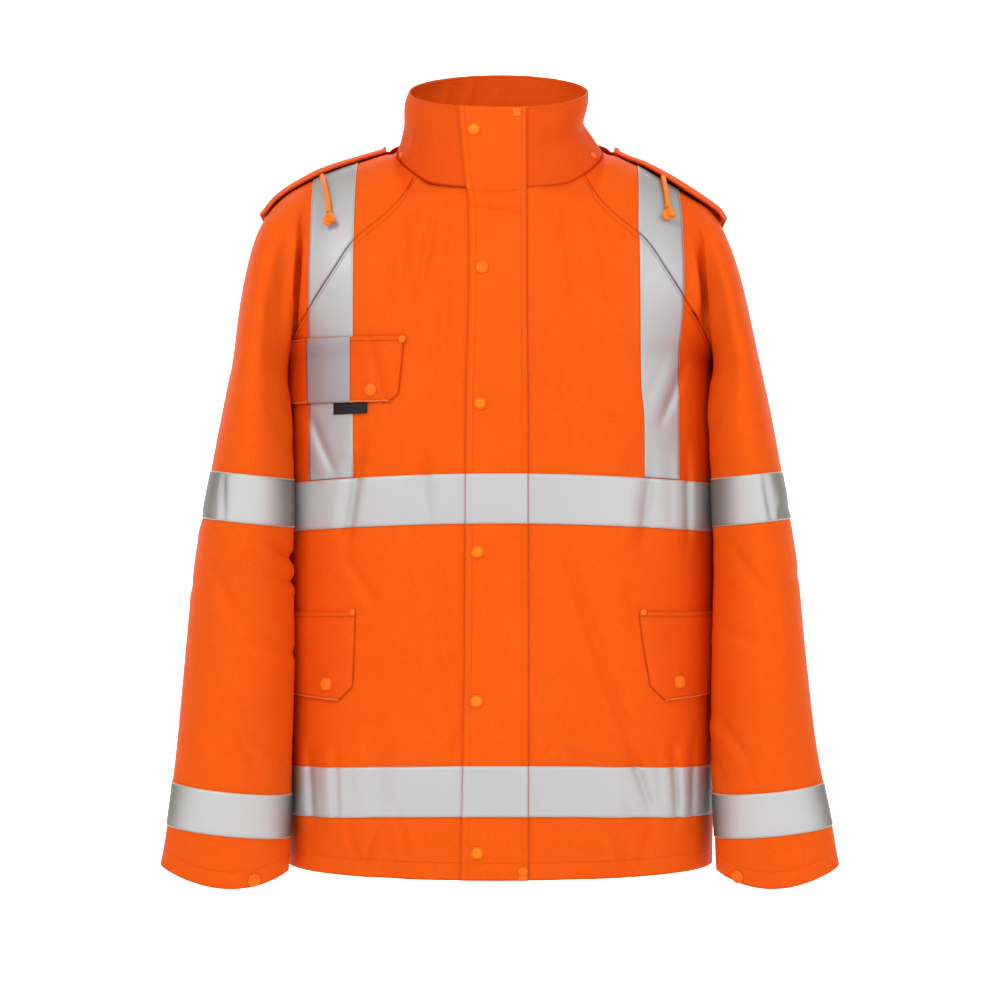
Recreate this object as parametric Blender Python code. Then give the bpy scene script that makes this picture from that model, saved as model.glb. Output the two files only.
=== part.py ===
"""Hi-vis work jacket, worn shape, built as cloth panels with a thin wall."""

import math

import bpy
from mathutils import Vector

for old in list(bpy.data.objects):
    bpy.data.objects.remove(old)

# Metres. +X is the wearer's left, the front faces -Y, +Z is up, the origin is inside the neck.
CLOTH = 0.0015
COLLAR_WALL = 0.0020
TAPE = 0.0005
LIFT = 0.0004
SEAM = 0.0003
BACK_SEAM = 0.0006
ARMPIT = -0.205
YOKE = -0.200
SIDE_POWER = 2.5
YOKE_POWER = 2.2
FRONT_EDGE = -0.013
BRACE_IN = 0.145
BRACE_MID = 0.167
BRACE_OUT = 0.190
HIP_IN = {-1: 0.1425, 1: 0.1380}
HIP_TOP = -0.440
NECK_HALF = 0.106
NECK_FRONT = 0.105
NECK_BACK = 0.090
RAGLAN_FRONT = 54.0
RAGLAN_BACK = 130.0
CUFF_TILT = math.radians(6.0)
ARM_GAP = 0.0035
CUFF_RISE = 0.016
CUFF_RISE_LEAN = 0.0035
CUFF_RISE_FROM = -0.690
COLUMNS = 20

# height, half width, depth in front of the side seam, depth behind it, droop of a row at the side
TORSO = (
    (-0.717, 0.2180, 0.155, 0.140, -0.003),
    (-0.655, 0.2185, 0.155, 0.140, 0.008),
    (-0.600, 0.2190, 0.154, 0.139, 0.008),
    (-0.400, 0.2220, 0.151, 0.136, 0.009),
    (-0.320, 0.2230, 0.150, 0.136, 0.010),
    (-0.250, 0.2215, 0.149, 0.137, 0.001),
    (-0.205, 0.2185, 0.147, 0.137, 0.000),
    (-0.180, 0.2330, 0.146, 0.136, 0.000),
    (-0.155, 0.2500, 0.145, 0.135, 0.000),
    (-0.120, 0.2700, 0.144, 0.132, 0.000),
    (-0.087, 0.2850, 0.141, 0.129, 0.000),
    (-0.037, 0.3000, 0.134, 0.124, 0.000),
    (0.060, 0.3100, 0.125, 0.120, 0.000),
)
# distance from the centre, height of the shoulder line
SHOULDER = (
    (0.000, 0.0450),
    (0.108, 0.0130),
    (0.144, 0.0015),
    (0.180, -0.0110),
    (0.216, -0.0320),
    (0.245, -0.0600),
    (0.262, -0.1100),
    (0.300, -0.2600),
)
# angle round the neck from the front, height of the neck seam
NECK = (
    (0.0, -0.0370),
    (39.0, -0.0286),
    (51.0, -0.0193),
    (67.0, -0.0058),
    (90.0, 0.0120),
    (130.0, 0.0300),
    (180.0, 0.0400),
)
# height, distance of the raglan seam from the centre, in front
RAGLAN = (
    (-0.205, 0.2185),
    (-0.195, 0.2140),
    (-0.1835, 0.2085),
    (-0.168, 0.1995),
    (-0.155, 0.1900),
    (-0.120, 0.1670),
    (-0.087, 0.1450),
    (-0.060, 0.1140),
    (-0.040, 0.0965),
)
# height, distance of the raglan seam from the centre, behind
RAGLAN_BEHIND = (
    (-0.205, 0.2185),
    (-0.195, 0.2140),
    (-0.1835, 0.2085),
    (-0.168, 0.1995),
    (-0.155, 0.1900),
    (-0.120, 0.1670),
    (-0.087, 0.1450),
    (-0.050, 0.1180),
    (-0.010, 0.0950),
)
BODY_ROWS = (
    -0.717,
    -0.6885,
    -0.6545,
    -0.605,
    -0.572,
    -0.539,
    -0.523,
    -0.490,
    -0.4513,
    -0.410,
    -0.368,
    -0.319,
    -0.283,
    -0.248,
    -0.226,
    -0.205,
    -0.195,
    -0.1835,
    -0.168,
    -0.155,
    -0.120,
    -0.087,
)
FRONT_TOP_ROWS = (-0.060, -0.040)
BACK_TOP_ROWS = (-0.050, -0.010)
# top of the fold x, bottom x, top z, bottom z, half width, depth inwards
FRONT_FOLDS = (
    (-0.148, -0.155, -0.300, -0.385, 0.022, 0.0045),
    (-0.076, -0.080, -0.290, -0.400, 0.024, 0.0030),
    (0.196, 0.194, -0.290, -0.390, 0.020, -0.0040),
    (0.136, 0.146, -0.290, -0.400, 0.024, 0.0035),
    (0.126, 0.146, -0.590, -0.690, 0.022, 0.0045),
    (-0.165, -0.160, -0.590, -0.690, 0.020, -0.0040),
    (0.178, 0.182, -0.590, -0.680, 0.018, -0.0035),
    (-0.082, -0.050, -0.060, -0.240, 0.020, 0.0030),
    (-0.062, -0.110, -0.050, -0.200, 0.018, 0.0025),
    (0.075, 0.105, -0.060, -0.230, 0.022, 0.0025),
    (-0.125, -0.110, -0.560, -0.717, 0.022, 0.0040),
    (0.085, 0.070, -0.540, -0.717, 0.026, 0.0030),
)
BACK_FOLDS = (
    (-0.060, -0.075, -0.330, -0.600, 0.030, 0.0045),
    (0.080, 0.060, -0.400, -0.700, 0.030, 0.0045),
    (-0.150, -0.130, -0.220, -0.380, 0.024, 0.0050),
    (0.150, 0.135, -0.230, -0.400, 0.024, 0.0045),
    (-0.130, -0.150, -0.560, -0.717, 0.022, 0.0040),
    (0.135, 0.150, -0.600, -0.717, 0.022, 0.0040),
)
# height of the storm flap's edges, x of the edge on the wearer's right, x on the left
FLAP_EDGES = (
    (-0.717, -0.0382, 0.0274),
    (-0.500, -0.0345, 0.0272),
    (-0.250, -0.0330, 0.0270),
    (-0.120, -0.0300, 0.0262),
    (-0.050, -0.0310, 0.0262),
    (-0.030, -0.0335, 0.0262),
)
# share of the collar's height, half width, middle, front depth, back depth
COLLAR = (
    (0.00, 0.1060, 0.0000, 0.1050, 0.0900),
    (0.25, 0.0985, -0.0030, 0.1010, 0.0875),
    (0.50, 0.0925, -0.0062, 0.0985, 0.0865),
    (0.80, 0.0945, -0.0038, 0.0965, 0.0860),
    (1.00, 0.0925, -0.0015, 0.0950, 0.0850),
)
COLLAR_ANGLES = (
    36.0, 54.0, 61.2, 72.0, 82.8, 90.0, 98.0, 110.0, 122.0, 130.0, 151.86, 180.0,
    208.14, 230.0, 238.0, 250.0, 262.0, 270.0, 277.2, 288.0, 298.8, 306.0, 322.9,
)
# crest of each sleeve ring from the neck to the armpit, for each side: x, y, z
CAP_CREST = {
    -1: (
        (0.1060, 0.000, 0.0120),
        (0.1180, 0.000, 0.0095),
        (0.1300, 0.000, 0.0060),
        (0.1450, 0.000, 0.0012),
        (0.1670, -0.002, -0.0062),
        (0.1900, -0.004, -0.0155),
        (0.2220, -0.010, -0.0360),
        (0.2450, -0.022, -0.0690),
        (0.2595, -0.036, -0.1250),
        (0.2695, -0.047, -0.1870),
    ),
    1: (
        (0.1060, 0.000, 0.0120),
        (0.1180, 0.000, 0.0085),
        (0.1300, 0.000, 0.0030),
        (0.1450, 0.000, -0.0040),
        (0.1670, -0.002, -0.0170),
        (0.1900, -0.004, -0.0310),
        (0.2165, -0.010, -0.0505),
        (0.2330, -0.022, -0.0830),
        (0.2460, -0.036, -0.1290),
        (0.2615, -0.047, -0.1870),
    ),
}
# how far each ring past the brace has turned from the shoulder towards the arm
CAP_TURN = {6: 0.32, 7: 0.60, 8: 0.84}
# height, outer x, inner x, middle y, half depth of the arm, for each side
ARM = {
    -1: (
        (-0.728, 0.3405, 0.2110, -0.083, 0.048),
        (-0.680, 0.3345, 0.2100, -0.080, 0.056),
        (-0.600, 0.3250, 0.2065, -0.076, 0.068),
        (-0.500, 0.3160, 0.2030, -0.072, 0.080),
        (-0.410, 0.3070, 0.2040, -0.068, 0.086),
        (-0.330, 0.2930, 0.2045, -0.062, 0.092),
        (-0.260, 0.2800, 0.2070, -0.054, 0.098),
        (-0.205, 0.2695, 0.2140, -0.045, 0.100),
    ),
    1: (
        (-0.728, 0.3400, 0.2160, -0.083, 0.048),
        (-0.680, 0.3340, 0.2150, -0.080, 0.056),
        (-0.600, 0.3185, 0.2120, -0.076, 0.068),
        (-0.500, 0.3070, 0.2110, -0.072, 0.080),
        (-0.410, 0.2985, 0.2120, -0.068, 0.086),
        (-0.330, 0.2855, 0.2105, -0.062, 0.092),
        (-0.260, 0.2730, 0.2070, -0.054, 0.098),
        (-0.205, 0.2615, 0.2140, -0.045, 0.100),
    ),
}
ARM_ROWS = (
    -0.205, -0.228, -0.260, -0.290, -0.320, -0.3675, -0.405, -0.445,
    -0.490, -0.540, -0.590, -0.632, -0.6755, -0.703, -0.728,
)
# share round the arm from the underarm over the front, height, half share, half height, depth
ARM_FOLDS = (
    (0.19, -0.215, 0.060, 0.060, 0.0070),
    (0.14, -0.420, 0.080, 0.030, 0.0060),
    (0.30, -0.455, 0.090, 0.026, 0.0035),
    (0.16, -0.545, 0.070, 0.026, 0.0050),
    (0.62, -0.445, 0.090, 0.028, 0.0050),
    (0.72, -0.540, 0.090, 0.030, 0.0040),
)
SNAP_HALF = 0.0063
SNAP_HIGH = 0.0030
# name, x, z on the storm flap
FLAP_SNAPS = (
    ("snap_flap_1", -0.0177, -0.1162),
    ("snap_flap_2", -0.0196, -0.2501),
    ("snap_flap_3", -0.0222, -0.3959),
    ("snap_flap_4", -0.0232, -0.5417),
    ("snap_flap_5", -0.0225, -0.6899),
)
CORD_HALF = 0.0025
# side, x and z down the shoulder, knot middle x and z
CORDS = {
    "right": (-1, ((0.1790, -0.0190), (0.1740, -0.0330), (0.1700, -0.0480), (0.1690, -0.0610)), (0.1690, -0.0705)),
    "left": (1, ((0.1640, -0.0190), (0.1650, -0.0330), (0.1660, -0.0450), (0.1665, -0.0560)), (0.1690, -0.0650)),
}
KNOT = (0.0058, 0.0052, 0.0090)

PAINTS = {
    "hivis_orange": ((0.95, 0.118, 0.012), 0.42),
    "reflective_silver": ((0.56, 0.56, 0.57), 0.38),
    "snap_orange": ((0.96, 0.175, 0.015), 0.30),
    "label_black": ((0.012, 0.012, 0.013), 0.55),
    "cord_orange": ((1.00, 0.235, 0.025), 0.60),
}
paints = {}
for paint, (colour, rough) in PAINTS.items():
    made = bpy.data.materials.new(paint)
    made.use_nodes = True
    shader = made.node_tree.nodes["Principled BSDF"]
    shader.inputs["Base Color"].default_value = (*colour, 1.0)
    shader.inputs["Roughness"].default_value = rough
    paints[paint] = made


def column(rows, key, which):
    """Value in a table's column at this key, between its rows in proportion."""
    if key <= rows[0][0]:
        return rows[0][which]
    for low, high in zip(rows, rows[1:]):
        if key <= high[0]:
            share = (key - low[0]) / (high[0] - low[0])
            return low[which] + share * (high[which] - low[which])
    return rows[-1][which]


def bump(share):
    """1 in the middle of a fold and 0 at its edge, smooth."""
    return math.cos(min(abs(share), 1.0) * math.pi / 2) ** 2


def fold_depth(x, z, folds):
    depth = 0.0
    for top_x, low_x, top_z, low_z, half, deep in folds:
        along = (z - low_z) / (top_z - low_z)
        if 0 < along < 1:
            line = low_x + along * (top_x - low_x)
            depth += deep * bump((x - line) / half) * math.sin(math.pi * along) ** 0.6
        elif low_z == -0.717 and z <= low_z:
            depth += deep * bump((x - low_x) / half) * 0.8
    return depth


def torso_depth(x, z, behind):
    """How far the torso stands out from its side seam's plane."""
    width = column(TORSO, z, 1)
    round_part = max(0.0, 1 - (abs(x) / width) ** SIDE_POWER) ** (1 / SIDE_POWER)
    depth = column(TORSO, z, 3 if behind else 2) * round_part
    if z > YOKE:
        top = column(SHOULDER, abs(x), 1)
        share = min(1.0, (z - YOKE) / (top - YOKE))
        depth *= (1 - share**YOKE_POWER) ** (1 / YOKE_POWER)
    return depth


def torso_point(x, z, behind):
    z -= column(TORSO, z, 4) * (min(abs(x), 0.22) / 0.22) ** 2
    depth = torso_depth(x, z, behind)
    if depth > 0.04:
        depth -= fold_depth(x, z, BACK_FOLDS if behind else FRONT_FOLDS)
    return Vector((x, depth if behind else -depth, z))


def side_point(side, z, behind, depth):
    """A point near the side seam, this far in front of or behind it."""
    full = column(TORSO, z, 3 if behind else 2)
    width = column(TORSO, z, 1)
    x = width * (1 - (depth / full) ** SIDE_POWER) ** (1 / SIDE_POWER)
    z -= column(TORSO, z, 4) * (min(x, 0.22) / 0.22) ** 2
    return Vector((side * x, depth if behind else -depth, z))


def neck_point(angle):
    turn = math.radians(angle)
    deep = NECK_FRONT if math.cos(turn) > 0 else NECK_BACK
    around = abs((angle + 180) % 360 - 180)
    return Vector((NECK_HALF * math.sin(turn), -deep * math.cos(turn), column(NECK, around, 1)))


def collar_point(angle, share):
    turn = math.radians(angle)
    half = column(COLLAR, share, 1)
    deep = column(COLLAR, share, 3 if math.cos(turn) > 0 else 4)
    low = neck_point(angle).z
    high = 0.076 - 0.029 * math.cos(turn)
    x = column(COLLAR, share, 2) + half * math.sin(turn)
    return Vector((x, -deep * math.cos(turn), low + share * (high - low)))


def strip(rows, marks):
    """Triangles between neighbouring rows of points, whose counts may differ."""
    faces = []
    for low, high, low_marks, high_marks in zip(rows, rows[1:], marks, marks[1:]):
        i = 0
        j = 0
        while i < len(low) - 1 or j < len(high) - 1:
            next_low = low_marks[i + 1] if i < len(low) - 1 else math.inf
            next_high = high_marks[j + 1] if j < len(high) - 1 else math.inf
            if next_low <= next_high:
                faces.append((low[i], low[i + 1], high[j]))
                i += 1
            else:
                faces.append((low[i], high[j + 1], high[j]))
                j += 1
    return [face for face in faces if len(set(face)) == 3]


def normals_of(points, faces):
    found = [Vector((0, 0, 0)) for _ in points]
    for a, b, c in faces:
        normal = (points[b] - points[a]).cross(points[c] - points[a])
        for corner in (a, b, c):
            found[corner] += normal
    return [normal.normalized() for normal in found]


def solid(name, points, faces, low, high, paint, inset=0.0, normals=None):
    """One closed wall from `low` to `high` above the surface, drawn in by `inset` at its edges."""
    normals = normals or normals_of(points, faces)
    used = sorted({corner for face in faces for corner in face})
    count = {}
    for a, b, c in faces:
        for edge in ((a, b), (b, c), (c, a)):
            count[edge] = count.get(edge, 0) + 1
    rim = [edge for edge in count if (edge[1], edge[0]) not in count]
    inward = {}
    for a, b in rim:
        across = normals[a].lerp(normals[b], 0.5).cross(points[b] - points[a]).normalized()
        inward[a] = inward.get(a, Vector((0, 0, 0))) + across
        inward[b] = inward.get(b, Vector((0, 0, 0))) + across
    place = {corner: index for index, corner in enumerate(used)}
    outer = []
    inner = []
    for corner in used:
        base = points[corner].copy()
        if corner in inward:
            base += inward[corner].normalized() * inset
        outer.append(base + normals[corner] * high)
        inner.append(base + normals[corner] * low)
    size = len(used)
    made = [tuple(place[corner] for corner in face) for face in faces]
    made += [tuple(place[corner] + size for corner in reversed(face)) for face in faces]
    for a, b in rim:
        a = place[a]
        b = place[b]
        made.append((b, a, a + size))
        made.append((b, a + size, b + size))
    mesh = bpy.data.meshes.new(name)
    mesh.from_pydata([tuple(point) for point in outer + inner], [], made)
    mesh.materials.append(paints[paint])
    mesh.update()
    obj = bpy.data.objects.new(name, mesh)
    bpy.context.collection.objects.link(obj)
    return obj


def flipped(faces):
    return [tuple(reversed(face)) for face in faces]


def within(faces, keep):
    return [face for face in faces if all(corner in keep for corner in face)]


def surface_at(points, faces, x, z, lift, front=True):
    """Point over the surface where a line along Y at this x and z meets it, and the normal."""
    best = None
    for a, b, c in faces:
        p, q, r = points[a], points[b], points[c]
        area = (q.x - p.x) * (r.z - p.z) - (r.x - p.x) * (q.z - p.z)
        if abs(area) < 1e-12:
            continue
        u = ((x - p.x) * (r.z - p.z) - (r.x - p.x) * (z - p.z)) / area
        v = ((q.x - p.x) * (z - p.z) - (x - p.x) * (q.z - p.z)) / area
        if min(u, v, 1 - u - v) < -1e-6:
            continue
        found = p + u * (q - p) + v * (r - p)
        if best is None or (found.y < best[0].y) == front:
            best = (found, (q - p).cross(r - p).normalized())
    return best[0] + best[1] * lift, best[1]


def lathe(name, base, normal, profile, sides, paint):
    """A round part standing on a surface: (radius, height) pairs from its foot to its top."""
    turn = Vector((0, 0, 1)).rotation_difference(normal)
    points = []
    for radius, height in profile:
        for step in range(sides):
            angle = 2 * math.pi * step / sides
            spot = Vector((radius * math.cos(angle), radius * math.sin(angle), height))
            points.append(base + turn @ spot)
    foot = len(points)
    points.append(base + turn @ Vector((0, 0, profile[0][1])))
    points.append(base + turn @ Vector((0, 0, profile[-1][1])))
    faces = []
    for ring in range(len(profile) - 1):
        for step in range(sides):
            a = ring * sides + step
            b = ring * sides + (step + 1) % sides
            faces.append((a, b, b + sides, a + sides))
    last = (len(profile) - 1) * sides
    for step in range(sides):
        after = (step + 1) % sides
        faces.append((foot, after, step))
        faces.append((foot + 1, last + step, last + after))
    mesh = bpy.data.meshes.new(name)
    mesh.from_pydata([tuple(point) for point in points], [], faces)
    mesh.materials.append(paints[paint])
    mesh.update()
    obj = bpy.data.objects.new(name, mesh)
    bpy.context.collection.objects.link(obj)
    return obj


def snap(name, surface, x, z, lift):
    base, normal = surface_at(*surface, x, z, lift)
    profile = (
        (SNAP_HALF, 0.0),
        (SNAP_HALF, 0.0012),
        (SNAP_HALF * 0.86, 0.0022),
        (SNAP_HALF * 0.45, SNAP_HIGH),
    )
    lathe(name, base, normal, profile, 12, "snap_orange")


# Front panels
def front_columns(side, z):
    inner = HIP_IN[side] if z < HIP_TOP else BRACE_IN
    if side > 0:
        return (FRONT_EDGE, column(FLAP_EDGES, z, 2), 0.062, 0.100, inner, BRACE_MID, BRACE_OUT)
    return (FRONT_EDGE, column(FLAP_EDGES, z, 1), -0.064, -0.095, -0.120, -inner, -BRACE_MID, -BRACE_OUT)


def front_panel(side):
    points = []
    rows = []
    marks = []
    grid = {}
    for level, z in enumerate(BODY_ROWS + FRONT_TOP_ROWS + (None,)):
        row = []
        mark = []
        if z is None:
            end = neck_point(side * RAGLAN_FRONT)
            limit = abs(end.x)
            columns = front_columns(side, -0.03)
        else:
            limit = column(RAGLAN, z, 1) if z > ARMPIT else math.inf
            columns = front_columns(side, z)
        for index, x in enumerate(columns):
            if side * x > limit - 0.004:
                break
            if z is None:
                point = neck_point(math.degrees(math.asin(x / NECK_HALF)))
            else:
                point = torso_point(x, z, False)
            grid[level, index] = len(points)
            row.append(len(points))
            mark.append(side * x)
            points.append(point)
        ends = []
        if z is None:
            ends = [end]
        elif z > ARMPIT:
            ends = [torso_point(side * limit, z, False)]
        else:
            ends = [side_point(side, z, False, 0.052), side_point(side, z, False, 0.0)]
        for spot, end in enumerate(ends):
            grid[level, "end" if len(ends) == 1 else ("near", "side")[spot]] = len(points)
            row.append(len(points))
            mark.append(limit if len(ends) == 1 else (0.205, 0.2185)[spot])
            points.append(end)
        rows.append(row)
        marks.append(mark)
    faces = strip(rows, marks)
    if side < 0:
        faces = flipped(faces)
    return points, faces, grid, rows


def back_panel():
    points = []
    rows = []
    marks = []
    grid = {}
    inside = (-0.190, -0.167, -0.145, -0.100, -0.050, 0.0, 0.050, 0.100, 0.145, 0.167, 0.190)
    for level, z in enumerate(BODY_ROWS + BACK_TOP_ROWS + (None,)):
        row = []
        mark = []
        spots = []
        if z is None:
            limit = abs(neck_point(RAGLAN_BACK).x)
        else:
            limit = column(RAGLAN_BEHIND, z, 1) if z > ARMPIT else math.inf
        for index, x in enumerate(inside):
            if abs(x) > limit - 0.004:
                continue
            if z is None:
                angle = 180 - math.degrees(math.asin(x / NECK_HALF))
                spots.append((index, x, neck_point(angle)))
            else:
                spots.append((index, x, torso_point(x, z, True)))
        for side in (-1, 1):
            if z is None:
                edge = [("end", limit, neck_point(side * RAGLAN_BACK))]
            elif z > ARMPIT:
                edge = [("end", limit, torso_point(side * limit, z, True))]
            else:
                edge = [
                    ("near", 0.205, side_point(side, z, True, 0.052)),
                    ("side", 0.2185, side_point(side, z, True, 0.0)),
                ]
            edge = [((key, side), side * mark_at, point) for key, mark_at, point in edge]
            spots = list(reversed(edge)) + spots if side < 0 else spots + edge
        for key, mark_at, point in spots:
            grid[level, key] = len(points)
            row.append(len(points))
            mark.append(mark_at)
            points.append(point)
        rows.append(row)
        marks.append(mark)
    return points, flipped(strip(rows, marks)), grid, rows


# Sleeves
def hermite(start, end, leave, arrive, share):
    s2 = share * share
    s3 = s2 * share
    return (
        (2 * s3 - 3 * s2 + 1) * start
        + (s3 - 2 * s2 + share) * leave
        + (3 * s2 - 2 * s3) * end
        + (s3 - s2) * arrive
    )


def seam_point(ring, behind):
    """Point on the raglan seam of the wearer's left side where this ring starts."""
    if ring == 0:
        return neck_point(RAGLAN_BACK if behind else RAGLAN_FRONT)
    rows = RAGLAN_BEHIND if behind else RAGLAN
    z, x = rows[9 - ring]
    if ring == 9:
        return side_point(1, z, behind, 0.0)
    return torso_point(x, z, behind)


def shoulder_ring(side, ring, share):
    """A ring that passes over the shoulder at a fixed distance from the centre."""
    behind = share > 0.5
    along = 2 * (1 - share) if behind else 2 * share
    if ring == 0:
        low = RAGLAN_BACK if behind else RAGLAN_FRONT
        return neck_point(low + along * (90 - low))
    start = seam_point(ring, behind)
    crest = Vector(CAP_CREST[side][ring])
    rise = crest.z - start.z
    step = torso_depth(start.x, start.z + 0.004, behind) - torso_depth(start.x, start.z, behind)
    slope = step / 0.004 * (1 if behind else -1)
    reach = 1.5 * rise
    leave = Vector((crest.x - start.x, slope * reach, reach))
    arrive = Vector((0, 1.5 * (crest.y - start.y), 0))
    return hermite(start, crest, leave, arrive, along)


def push_out(point, gap):
    """Keeps a point of the arm this far outside the torso."""
    z = min(point.z, ARMPIT)
    full = column(TORSO, z, 3 if point.y > 0 else 2) + gap
    width = column(TORSO, z, 1) + gap
    inside = (abs(point.x) / width) ** SIDE_POWER + (abs(point.y) / full) ** SIDE_POWER
    if inside >= 1:
        return point
    grow = inside ** (-1 / SIDE_POWER)
    return Vector((point.x * grow, point.y * grow, point.z))


def arm_ring(side, z, share):
    outer = column(ARM[side], z, 1)
    inner = column(ARM[side], z, 2)
    middle = column(ARM[side], z, 3)
    deep = column(ARM[side], z, 4)
    half = (outer - inner) / 2
    turn = -27 + 414 * share if share < 0.5 else 180 + 306 * (share - 0.5)
    turn = math.radians(turn)
    dent = 0.0
    for at, height, half_share, half_height, depth in ARM_FOLDS:
        dent += depth * bump((share - at) / half_share) * bump((z - height) / half_height)
    half_x = half - dent
    along = -half_x * math.cos(turn)
    x = (outer + inner) / 2 + along * math.cos(CUFF_TILT)
    y = middle - (deep - dent) * math.sin(turn)
    low = max(0.0, (CUFF_RISE_FROM - z) / (CUFF_RISE_FROM - ARM_ROWS[-1]))
    rise = low * (CUFF_RISE + CUFF_RISE_LEAN * math.cos(turn)) * math.cos(turn) ** 2
    return push_out(Vector((x, y, z + rise + along * math.sin(CUFF_TILT))), ARM_GAP)


def arm_crease(ring, share):
    """Depth of the crease in front of the arm, where the sleeve folds at the chest."""
    weight = {5: 0.25, 6: 0.8, 7: 1.0, 8: 0.9}.get(ring, 0.0)
    centre = {5: 0.10, 6: 0.13, 7: 0.16, 8: 0.18}.get(ring, 0.2)
    return weight * (0.012 * bump((share - centre) / 0.12) + 0.008 * bump((1 - share - centre) / 0.12))


def cap_ring(side, ring, share):
    if ring <= 5:
        return shoulder_ring(side, ring, share)
    if ring == 9:
        if share in (0.0, 1.0):
            return side_point(1, ARMPIT, False, 0.0)
        return arm_ring(side, ARMPIT, share)
    turn = CAP_TURN[ring]
    mixed = shoulder_ring(side, 5, share).lerp(cap_ring(side, 9, share), turn)
    behind = share > 0.5
    at_seam = shoulder_ring(side, 5, 1.0 if behind else 0.0).lerp(cap_ring(side, 9, 0.0), turn)
    at_crest = shoulder_ring(side, 5, 0.5).lerp(cap_ring(side, 9, 0.5), turn)
    weight = math.sin(math.pi * share) ** 0.8
    mixed += (Vector(CAP_CREST[side][ring]) - at_crest) * weight
    mixed += (seam_point(ring, behind) - at_seam) * (1 - weight)
    away = mixed - Vector((0.215, -0.02, mixed.z))
    return mixed - away.normalized() * arm_crease(ring, share)


def sleeve(side):
    points = []
    rows = []
    for ring in range(10):
        row = []
        for step in range(COLUMNS + 1):
            if ring == 9 and step == COLUMNS:
                row.append(row[0])
                continue
            point = cap_ring(side, ring, step / COLUMNS)
            row.append(len(points))
            points.append(Vector((side * point.x, point.y, point.z)))
        rows.append(row)
    for z in ARM_ROWS[1:]:
        row = []
        for step in range(COLUMNS):
            point = arm_ring(side, z, step / COLUMNS)
            row.append(len(points))
            points.append(Vector((side * point.x, point.y, point.z)))
        row.append(row[0])
        rows.append(row)
    marks = [list(range(COLUMNS + 1)) for _ in rows]
    faces = strip(rows, marks)
    if side > 0:
        faces = flipped(faces)
    return points, faces, rows


def row_faces(faces, rows, first, last):
    keep = {corner for row in rows[first : last + 1] for corner in row}
    return within(faces, keep)


fronts = {side: front_panel(side) for side in (-1, 1)}
back = back_panel()
sleeves = {side: sleeve(side) for side in (-1, 1)}
hand = {-1: "right", 1: "left"}
for side in (-1, 1):
    points, faces, grid, rows = fronts[side]
    solid(f"front_{hand[side]}", points, faces, -CLOTH, 0.0, "hivis_orange", SEAM)
    points, faces, rows = sleeves[side]
    solid(f"sleeve_{hand[side]}", points, faces, -CLOTH, 0.0, "hivis_orange", SEAM)
points, faces, grid, rows = back
solid("back", points, faces, -CLOTH, 0.0, "hivis_orange", BACK_SEAM)

# Reflective tape on the fronts, the back and the sleeves
HEM_BAND = (2, 3)
CHEST_BAND = (10, 11)
for side in (-1, 1):
    points, faces, grid, rows = fronts[side]
    normals = normals_of(points, faces)
    flap_column = 1
    brace = (4, 5, 6) if side > 0 else (5, 6, 7)
    for band, (low, high) in (("hem", HEM_BAND), ("chest", CHEST_BAND)):
        keep = {
            corner
            for (level, index), corner in grid.items()
            if low <= level <= high and (index in ("near", "side") or index >= flap_column)
        }
        solid(
            f"tape_{band}_front_{hand[side]}",
            points, within(faces, keep), LIFT, LIFT + TAPE, "reflective_silver", SEAM, normals,
        )
    keep = {
        corner
        for (level, index), corner in grid.items()
        if 11 <= level <= 21 and (index in brace or (index == "end" and level >= 19))
    }
    solid(
        f"tape_brace_front_{hand[side]}",
        points, within(faces, keep), LIFT, LIFT + TAPE, "reflective_silver", SEAM, normals,
    )
    points, faces, rows = sleeves[side]
    normals = normals_of(points, faces)
    solid(
        f"tape_brace_sleeve_{hand[side]}",
        points, row_faces(faces, rows, 3, 5), LIFT, LIFT + TAPE, "reflective_silver", SEAM, normals,
    )
    for band, first in (("upper", 13), ("lower", 20)):
        solid(
            f"tape_{band}_sleeve_{hand[side]}",
            points, row_faces(faces, rows, first, first + 1), LIFT, LIFT + TAPE,
            "reflective_silver", SEAM, normals,
        )
points, faces, grid, rows = back
normals = normals_of(points, faces)
for band, (low, high) in (("hem", HEM_BAND), ("chest", CHEST_BAND)):
    solid(
        f"tape_{band}_back",
        points, row_faces(faces, rows, low, high), LIFT, LIFT + TAPE, "reflective_silver", SEAM, normals,
    )
for side, columns in ((-1, (0, 1, 2)), (1, (8, 9, 10))):
    keep = {
        corner
        for (level, index), corner in grid.items()
        if 11 <= level <= 21 and (index in columns or (index == ("end", side) and level >= 19))
    }
    solid(
        f"tape_brace_back_{hand[side]}",
        points, within(faces, keep), LIFT, LIFT + TAPE, "reflective_silver", SEAM, normals,
    )

# Collar, open at the front edge under the storm flap
COLLAR_SHARES = (0.0, 0.25, 0.50, 0.80, 1.0)


def collar_columns(share):
    """Angles round the collar, with the storm flap's two edges among them."""
    half = column(COLLAR, share, 1)
    middle = column(COLLAR, share, 2)
    left = math.degrees(math.asin((0.0262 - middle) / half))
    edge = math.degrees(math.asin((FRONT_EDGE - middle) / half))
    right_x = -0.0335 - 0.0080 * share
    right = math.degrees(math.asin((right_x - middle) / half))
    return (edge, left) + COLLAR_ANGLES + (360 + right, 360 + edge)


points = []
rows = []
for share in COLLAR_SHARES:
    row = []
    for angle in collar_columns(share):
        row.append(len(points))
        points.append(collar_point(angle, share))
    rows.append(row)
faces = strip(rows, [list(range(len(row))) for row in rows])
solid("collar", points, faces, -COLLAR_WALL, 0.0, "hivis_orange", BACK_SEAM)

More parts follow.
